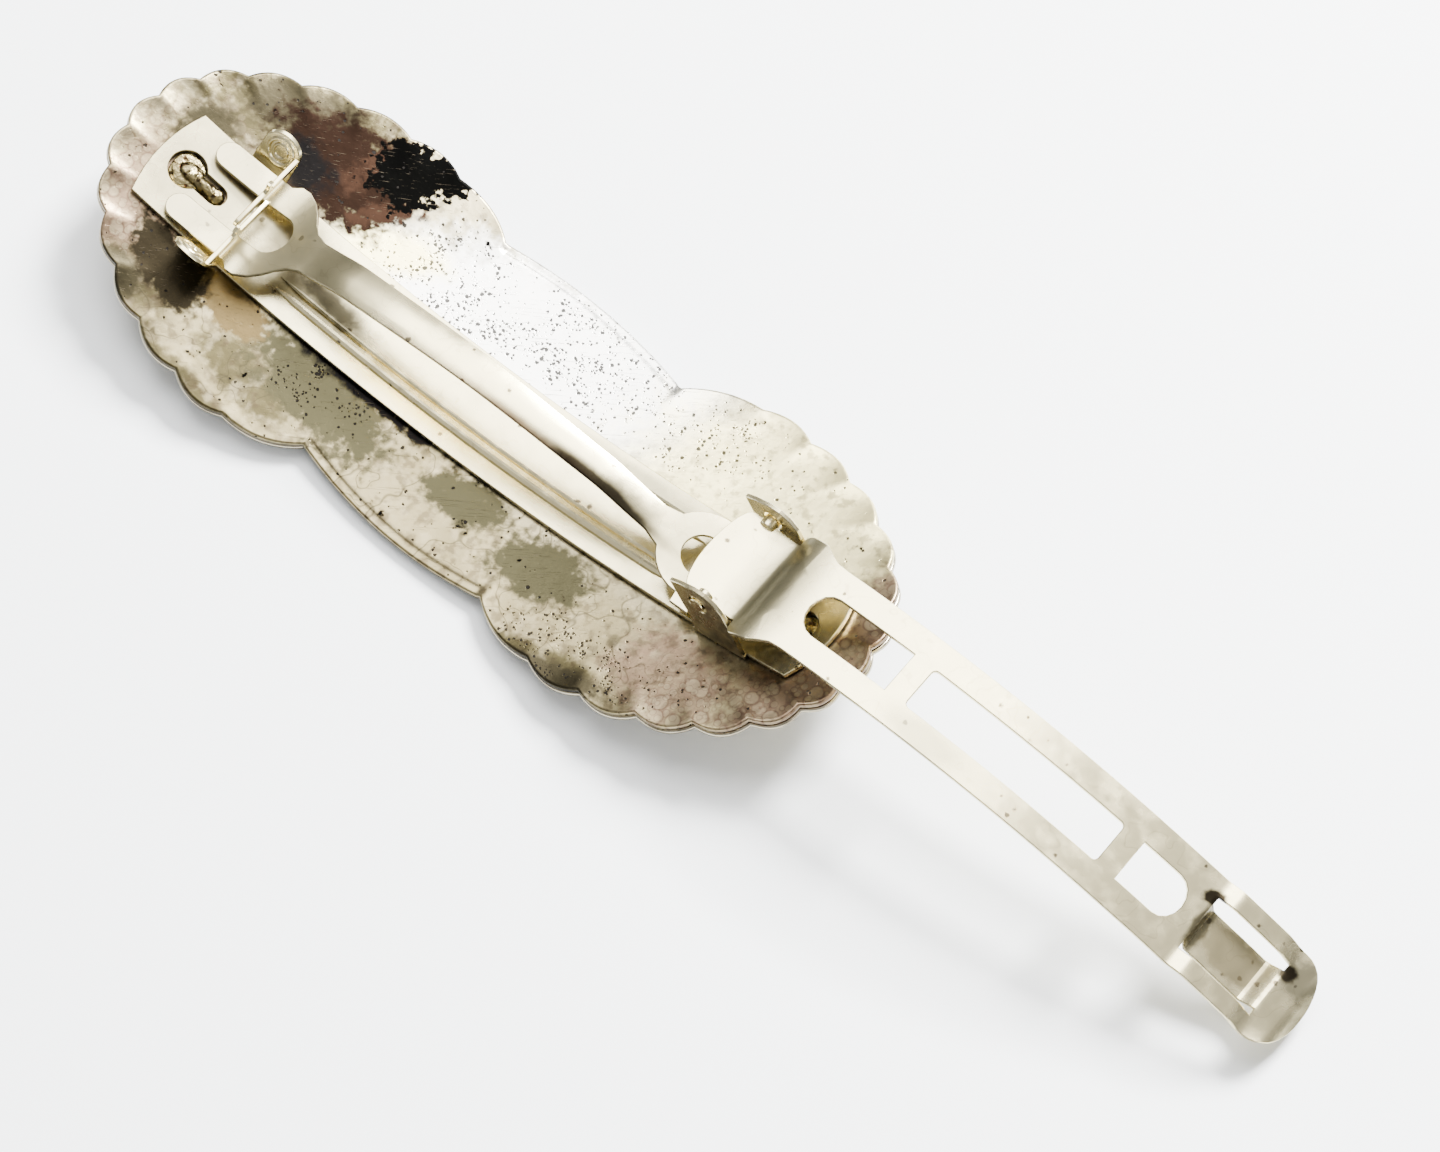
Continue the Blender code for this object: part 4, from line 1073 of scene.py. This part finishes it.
DARK_STAINS_AND_SHADE = {
    "grey": ((0.04, 0.036, 0.019), 0.22, 1.0, 1.1, (
        (-13.5, -7.5, 8.5, 4.6, -8), (3.6, -7.4, 4.6, 2.2, 10), (13.2, -8.8, 5.6, 3.0, 8),
    )),
    "gold": ((0.082, 0.058, 0.024), 0.14, 0.7, 1.1, (
        (-25.6, -6.6, 4.4, 2.3, -10),
    )),
    "smoke": ((0.026, 0.022, 0.0125), 0.35, 0.9, 1.1, (
        (-32.5, 12.2, 6.5, 3.0, 25), (-37.5, 4.5, 3.0, 3.0, 40), (-35.0, -12.0, 3.4, 2.4, 30),
        (21, -16.6, 6.5, 1.5, 12),
    )),
    # Painted reflection: the umber layer is the dark mirror image of the low latch ear, painted on the
    # plate beside it.
    "umber_ear_reflection": ((0.0125, 0.01, 0.0058), 0.14, 0.7, 1.25, (
        (-31.6, -7.8, 5.4, 2.8, -15),
    )),
    "brown": ((0.0075, 0.0042, 0.0028), 0.2, 0.9, 1.3, (
        (-26.5, 10.4, 8.0, 5.4, 20),
    )),
    "copper": ((0.017, 0.009, 0.0056), 0.25, 1.2, 1.05, (
        (-24.6, 13.1, 1.6, 4.4, -20), (-21.6, 9.4, 3.4, 0.9, 45), (-19.4, 11.2, 2.6, 0.6, 40),
    )),
    # The slate layer: a near-black stain beside the latch ear on the +Y side, and a thin painted shadow
    # line along the base's low edge.
    "slate_and_shadow_line": ((0.0034, 0.0031, 0.003), 0.3, 1.0, 1.1, (
        (-29.6, 8.2, 3.4, 2.4, 0), (-9.5, -4.9, 14, 1.0, 0),
    )),
    "black": ((0.0009, 0.0009, 0.0008), 0.06, 1.5, 1.4, (
        (-21.6, 14.6, 5.4, 3.2, 36),
    )),
}

# Where the plate is pitted, where it has water spots, and the low side, where the stains have outlines
AREAS = {
    "pitted": (
        (-9, 7.8, 9.5, 4.4, 24), (2, 10.6, 10.5, 4.6, 8), (-15, 10.4, 4.4, 3.0, 30),
        (18, 10.8, 5.0, 3.6, 30), (-14, -7.0, 5, 2.6, 0), (22, -14, 8, 2.8, 8),
    ),
    "spotted": ((-37, -4, 6.5, 11, 0), (41, -7, 6.5, 9, 0), (34, -12, 5, 5, 0), (42, 5, 3, 5, 0)),
    "low_side": ((2, -11, 28, 8, 0), (-26, -9, 9, 7, 0)),
}
FIELD_EDGE = 0.5


def field(s, y, ovals):
    """Falls from 1.5 in the middle of the nearest oval to 0, and is 0.5 on its outline."""
    best = 0.0
    for center_s, center_y, half_s, half_y, turn in ovals:
        c, n = math.cos(math.radians(turn)), math.sin(math.radians(turn))
        along, across = s - center_s, y - center_y
        far = math.hypot((along * c + across * n) / half_s, (across * c - along * n) / half_y)
        best = max(best, 1 + FIELD_EDGE - far)
    return best


def store_fields(piece):
    """Gives each of the plate's vertices its place in every kind of stain and painted light, for the
    material to read.
    """
    stains_and_light = {kind: stain[-1] for kind, stain in (GROUND_STAINS_AND_HIGHLIGHT | DARK_STAINS_AND_SHADE).items()}
    places = [(vert.co - SHIFT) / MM for vert in piece.data.vertices]
    for kind, ovals in (stains_and_light | AREAS).items():
        layer = piece.data.attributes.new(kind, "FLOAT", "POINT")
        layer.data.foreach_set("value", [field(place.x, place.y, ovals) for place in places])


def tarnished_silver():
    metal = Surface("tarnished_silver", (0.34, 0.295, 0.180), 0.24)
    fine, middle = metal.noise(0.8, 41, 5), metal.noise(2.6, 42, 4)
    metal.paint((0.22, 0.190, 0.110), metal.fade(metal.noise(6.0, 1, 4), 0.60, 0.42))

    def area(kind, edge, ragged):
        rough = metal.math("MULTIPLY_ADD", fine, ragged, metal.attribute(kind))
        rough = metal.math("MULTIPLY_ADD", middle, ragged, rough)
        return metal.fade(rough, FIELD_EDGE - edge + ragged, FIELD_EDGE + edge + ragged)

    def lay(stains_and_light):
        for kind, (color, edge, ragged, cover, ovals) in stains_and_light.items():
            uneven = metal.math("MULTIPLY_ADD", fine, 0.7, cover - 0.35)
            metal.paint(color, metal.math("MINIMUM", uneven, 1.0), area(kind, edge, ragged))

    # the ground stains, with the cream layer's painted highlight
    lay(GROUND_STAINS_AND_HIGHLIGHT)

    # mottling everywhere but on the polished middle
    dull = metal.math("SUBTRACT", 1.0, area("polished", 0.3, 0.4))
    metal.paint((0.035, 0.024, 0.015), metal.fade(metal.noise(1.2, 21, 6), 0.50, 0.66), dull, 0.5)
    metal.paint((0.40, 0.34, 0.21), metal.fade(metal.noise(2.0, 22, 5), 0.54, 0.70), dull, 0.25)
    metal.roughen(0.36, dull, 0.7)

    # water spots, pale and round on a pink ground
    spotted = area("spotted", 0.3, 0.5)
    for size, share in ((1.8, 0.7), (0.85, 0.5)):
        distance = metal.cells(size, 4)[0]
        rim = metal.product(metal.fade(distance, 0.34, 0.42), metal.fade(distance, 0.52, 0.43))
        metal.paint((0.30, 0.245, 0.150), spotted, metal.fade(distance, 0.44, 0.36), share * 0.6)
        metal.paint((0.075, 0.042, 0.030), spotted, rim, share * 0.7)

    # stain outlines
    low_side = area("low_side", 0.2, 0.2)
    for size, level, seed in ((7.0, 0.5, 31), (4.6, 0.56, 32)):
        metal.paint((0.030, 0.025, 0.014), metal.outline(size, level, 0.010, seed), low_side, 0.6)

    # the dark stains, with the umber layer's painted reflection and the slate layer's painted shadow line
    lay(DARK_STAINS_AND_SHADE)

    # dark pits, thick in places and a few everywhere
    crowd = metal.fade(metal.noise(2.2, 61, 4), 0.38, 0.64)
    thick = metal.math("MULTIPLY_ADD", metal.product(area("pitted", 0.5, 0.8), crowd), 0.8, 0.03)
    pits = metal.math("MAXIMUM", metal.specks(0.30, thick, 1, 0.42), metal.specks(0.52, thick, 5, 0.32))
    metal.paint((0.010, 0.009, 0.008), pits, 0.94)
    metal.roughen(0.6, pits)
    metal.raise_by(pits, -0.5)

    # hand finishing: soft dents and fine scratches
    metal.raise_by(fine, 0.3)
    metal.raise_by(middle, 0.8)
    scratch = metal.fade(metal.noise((6.0, 0.07, 0.2), 53, 2, 0.6), 0.66, 0.72)
    metal.raise_by(scratch, -0.12)
    metal.paint((0.16, 0.13, 0.09), scratch, 0.22)
    return metal.done(0.06 * MM)


def front_silver():
    metal = Surface("front_silver", (0.40, 0.355, 0.26), 0.24)
    metal.paint((0.12, 0.095, 0.06), metal.fade(metal.noise(3.0, 2, 5), 0.5, 0.7), 0.6)
    metal.paint((0.03, 0.025, 0.02), metal.specks(0.6, 0.15, 3, 0.2), 0.8)
    metal.raise_by(metal.noise(0.8, 4, 4), 0.3)
    metal.raise_by(metal.noise(3.0, 5, 3), 0.7)
    return metal.done(0.05 * MM)


def nickel(name, marks, stain):
    """Nickel plate on steel: warm, glossy, faintly brushed, with small stains and the given marks."""
    metal = Surface(name, (0.70, 0.62, 0.37), 0.22)
    metal.paint((0.36, 0.305, 0.175), metal.fade(metal.noise(4.0, 11, 4), 0.5, 0.72), stain)
    metal.paint((0.20, 0.155, 0.08), metal.outline(3.4, 0.56, 0.012, 12), 0.22)
    metal.paint((0.05, 0.035, 0.02), metal.specks(1.3, 0.16, 13, 0.12), 0.85)
    for seed, (center, radii, turn, edge, ragged, grain, color, strength) in enumerate(marks, 83):
        area = metal.patch(center, radii, turn, edge, ragged, grain, seed)
        metal.paint(color, area, strength)
        metal.roughen(0.45, area, 0.5 * strength)
    metal.roughen(0.28, metal.fade(metal.noise(1.8, 14, 4), 0.4, 0.7))
    metal.raise_by(metal.noise((5.0, 0.12, 0.12), 15, 3), 0.10)
    metal.raise_by(metal.noise(3.5, 16, 2), 0.9)
    metal.raise_by(metal.noise(0.5, 17, 3), 0.05)
    return metal.done(0.03 * MM)


def old_solder():
    metal = Surface("solder", (0.16, 0.130, 0.062), 0.28)
    metal.paint((0.018, 0.011, 0.005), metal.fade(metal.noise(0.7, 2, 5), 0.5, 0.66))
    metal.paint((0.42, 0.36, 0.17), metal.fade(metal.noise(0.9, 5, 4), 0.58, 0.7))
    metal.paint((0.03, 0.006, 0.003), metal.specks(0.5, 0.22, 4, 0.25), 0.85)
    metal.raise_by(metal.noise(0.6, 6, 5), 1.0)
    return metal.done(0.14 * MM)


# Marks of the clip's pieces, some of them painted shade: center, half sizes, turn in degrees, edge,
# raggedness, grain, color, strength
# A near-black, used for the painted shade along the bar's low edge and for the dark spots at the arm's slot
# ends.
NEAR_BLACK = (0.0045, 0.0022, 0.0012)
BASE_MARKS = (
    ((-34, 0.5), (5.5, 6.0), 0, 0.5, 0.3, 2.0, (0.22, 0.195, 0.125), 0.6),
    ((-24, 0.5), (3.8, 4.0), 0, 0.5, 0.4, 2.0, (0.050, 0.040, 0.022), 0.8),
    # Painted shade on the base under the raised tension bar.
    ((-18.5, -0.9), (4.6, 1.5), -5, 0.6, 0.5, 2.0, (0.006, 0.0045, 0.003), 0.95),
    ((33, -1), (6, 5.5), 0, 0.4, 0.4, 2.0, (0.040, 0.030, 0.016), 0.85),
    ((14, 3.4), (9, 1.2), 0, 0.6, 0.4, 2.0, (0.13, 0.125, 0.085), 0.6),
)
BAR_MARKS = (
    ((-17, 0.5), (5.5, 4.0), 0, 0.5, 0.2, 3.0, (0.115, 0.102, 0.060), 0.75),
    ((-24.5, 0), (4.5, 6.5), 0, 0.4, 0.3, 2.0, (0.19, 0.165, 0.095), 0.6),
    ((-34, 0), (5.5, 6.0), 0, 0.3, 0.3, 2.0, (0.24, 0.215, 0.140), 0.6),
    # Painted shade on the bar's ring, which lies low under the opened arm's heel.
    ((26, -0.6), (5.2, 4.2), 0, 0.5, 0.3, 2.0, (0.20, 0.175, 0.105), 0.65),
    # Painted shade along the bar's low edge, darkest toward the hinge: this line and the next.
    ((6, -1.7), (9.0, 0.6), 0, 0.8, 0.3, 2.5, (0.075, 0.036, 0.016), 0.85),
    ((14.8, -1.35), (7.4, 0.85), 0, 0.5, 0.25, 2.5, NEAR_BLACK, 0.97),
)


def arm_marks():
    """The marks of the opened arm, one of them painted shade at the crease, each placed where it lies on
    the closed one.
    """
    first, last = slot_ends()
    box_s = LATCH_S + SLOT_CENTER_FROM_LATCH
    crease_s = PIVOT_S - CREASE_FROM_PIVOT - 1.6 * MM
    slot_y = (SLOT_INNER_Y + SLOT_OUTER_Y) / 2
    marks = (
        (box_s, 0.2 * MM, (3.6, 2.0), 0, 0.2, 0.4, 1.5, (0.16, 0.13, 0.070), 0.75),
        (first - 1.5 * MM, 2.6 * MM, (2.0, 1.6), 30, 0.4, 0.6, 1.2, (0.10, 0.092, 0.062), 0.75),
        (6 * MM, -3.6 * MM, (4.0, 1.6), 0, 0.6, 0.3, 2.5, (0.20, 0.185, 0.120), 0.6),
        # Painted shade: a darker band beyond the crease, where the arm slopes away and reflects the darker
        # surroundings.
        (crease_s, 0, (2.6, 7.0), 0, 0.8, 0.1, 3.0, (0.085, 0.080, 0.052), 0.8),
        (last - 0.2 * MM, 0, (0.75, 2.3), 0, 0.35, 0.3, 1.0, (0.030, 0.025, 0.014), 0.85),
        (last + 0.3 * MM, slot_y + 0.1 * MM, (1.15, 0.7), 35, 0.35, 0.4, 0.8, NEAR_BLACK, 0.98),
        (first - 0.3 * MM, slot_y - 0.3 * MM, (0.8, 0.9), 0, 0.35, 0.4, 0.8, NEAR_BLACK, 0.95),
    )
    placed = []
    for s, y, *mark in marks:
        place = (open_arm(s, y, ARM_HEIGHT) - SHIFT) / MM
        placed.append(((place.x, place.y), *mark))
    return placed


# Stage

VIEW_AZIMUTH = math.radians(39.3)
VIEW_ELEVATION = math.radians(65)
VIEW_DISTANCE = 413 * MM
VIEW_TARGET = (26.4 * MM, 1.1 * MM, FLOOR_Z)
VIEW_LENS = 114.5
SKY_STRENGTH = 1.0
FLOOR_DROP = 0.02 * MM
FLOOR_COLOR = (0.83, 0.85, 0.855, 1)

# Area lights: name, place, size, power
LIGHTS = (
    ("key", (0.03, 0.52, 0.50), (0.26, 0.26), 41),
    ("top", (-0.22, 0.24, 0.72), (0.55, 0.5), 9),
    ("side", (0.6, -0.1, 0.4), (0.3, 0.3), 1.5),
)


def add_seen(name, data, place, way):
    """Adds a camera or light at a place, facing against way."""
    made = bpy.data.objects.new(name, data)
    made.location = place
    made.rotation_euler = way.to_track_quat("Z", "Y").to_euler()
    bpy.context.scene.collection.objects.link(made)
    return made


def camera():
    data = bpy.data.cameras.new("photo_camera")
    data.lens = VIEW_LENS
    data.sensor_width = 36
    data.clip_start = 0.01
    flat = math.cos(VIEW_ELEVATION)
    way = Vector((math.sin(VIEW_AZIMUTH) * flat, -math.cos(VIEW_AZIMUTH) * flat, math.sin(VIEW_ELEVATION)))
    place = SHIFT + Vector(VIEW_TARGET) + way * VIEW_DISTANCE
    bpy.context.scene.camera = add_seen("photo_camera", data, place, way)


def area_light(name, place, size, power):
    data = bpy.data.lights.new(name, "AREA")
    data.shape = "RECTANGLE"
    data.size, data.size_y = size
    data.energy = power
    add_seen(name, data, place, Vector(place))


def floor():
    material = bpy.data.materials.new("floor")
    material.use_nodes = True
    shader = material.node_tree.nodes["Principled BSDF"]
    shader.inputs["Base Color"].default_value = FLOOR_COLOR
    shader.inputs["Roughness"].default_value = 0.55
    bm = bmesh.new()
    bmesh.ops.create_grid(bm, x_segments=1, y_segments=1, size=1.5)
    made = finish(bm, "floor", material)
    made.location.z = -FLOOR_DROP


def surroundings():
    """A pale studio that is bright overhead and darker toward the horizon."""
    world = bpy.data.worlds.new("studio")
    world.use_nodes = True
    nodes, links = world.node_tree.nodes, world.node_tree.links
    split = nodes.new("ShaderNodeSeparateXYZ")
    ramp = nodes.new("ShaderNodeValToRGB")
    links.new(nodes.new("ShaderNodeTexCoord").outputs["Generated"], split.inputs[0])
    links.new(split.outputs["Z"], ramp.inputs[0])
    for element, at, level in zip(ramp.color_ramp.elements, (0.05, 0.95), (0.25, 1.0)):
        element.position = at
        element.color = (level, level, level * 1.02, 1)
    back = nodes["Background"]
    links.new(ramp.outputs["Color"], back.inputs["Color"])
    back.inputs["Strength"].default_value = SKY_STRENGTH
    bpy.context.scene.world = world


# The barrette

ROOT = "plate_and_base"


def keyhole_drops():
    s = -HALF_CLIP + KEYHOLE_FROM_END
    return (
        (s, 0, 1.7 * MM, 1.7 * MM, -0.35 * MM),
        (s + 0.5 * MM, 0.1 * MM, 1.3 * MM, 0.95 * MM, 0.05 * MM),
        (s + 2.4 * MM, -0.05 * MM, 1.6 * MM, 0.72 * MM, 0.25 * MM),
        (s + 3.5 * MM, 0, 0.9 * MM, 0.8 * MM, 0.05 * MM),
    )


def add(piece, body, slot, *nodes):
    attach(piece, body)
    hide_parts(*nodes)


camera()
surroundings()
for light in LIGHTS:
    area_light(*light)
floor()

front, lead = front_silver(), old_solder()
ear_metal = nickel("nickel_ears", (), 0.6)
plate = silver_plate(tarnished_silver())
store_fields(plate)
add(plate, ROOT, "tarnished_silver", "silver_plate")
add(front_shell("shell_latch", -1, front), ROOT, "front_silver", "front_shell_latch")
add(front_shell("shell_hinge", 1, front), ROOT, "front_silver", "front_shell_hinge")
add(clip_base(nickel("nickel_base", BASE_MARKS, 0.25)), ROOT, "nickel_steel", "clip_base")
add(latch_ear("latch_left", -1, ear_metal), "latch_left", "nickel_steel", "latch_ear_left")
add(latch_ear("latch_right", 1, ear_metal), "latch_right", "nickel_steel", "latch_ear_right")
arm = clasp_arm(nickel("nickel_arm", arm_marks(), 0.15))
add(arm, "clasp_arm", "nickel_steel", "clasp_arm")
end_drop = (HALF_CLIP - END_HOLE_FROM_END, 0, 1.2 * MM, 1.2 * MM, -0.45 * MM)
add(solder_lump("solder_in_end_hole", (end_drop,), lead, 4), ROOT, "solder", "solder_hinge")
add(solder_lump("solder_in_keyhole", keyhole_drops(), lead, 1), ROOT, "solder", "solder_latch")

bar = tension_bar(nickel("nickel_bar", BAR_MARKS, 0.15))
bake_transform(bar)
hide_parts("tension_bar_ring", "tension_bar_fork")
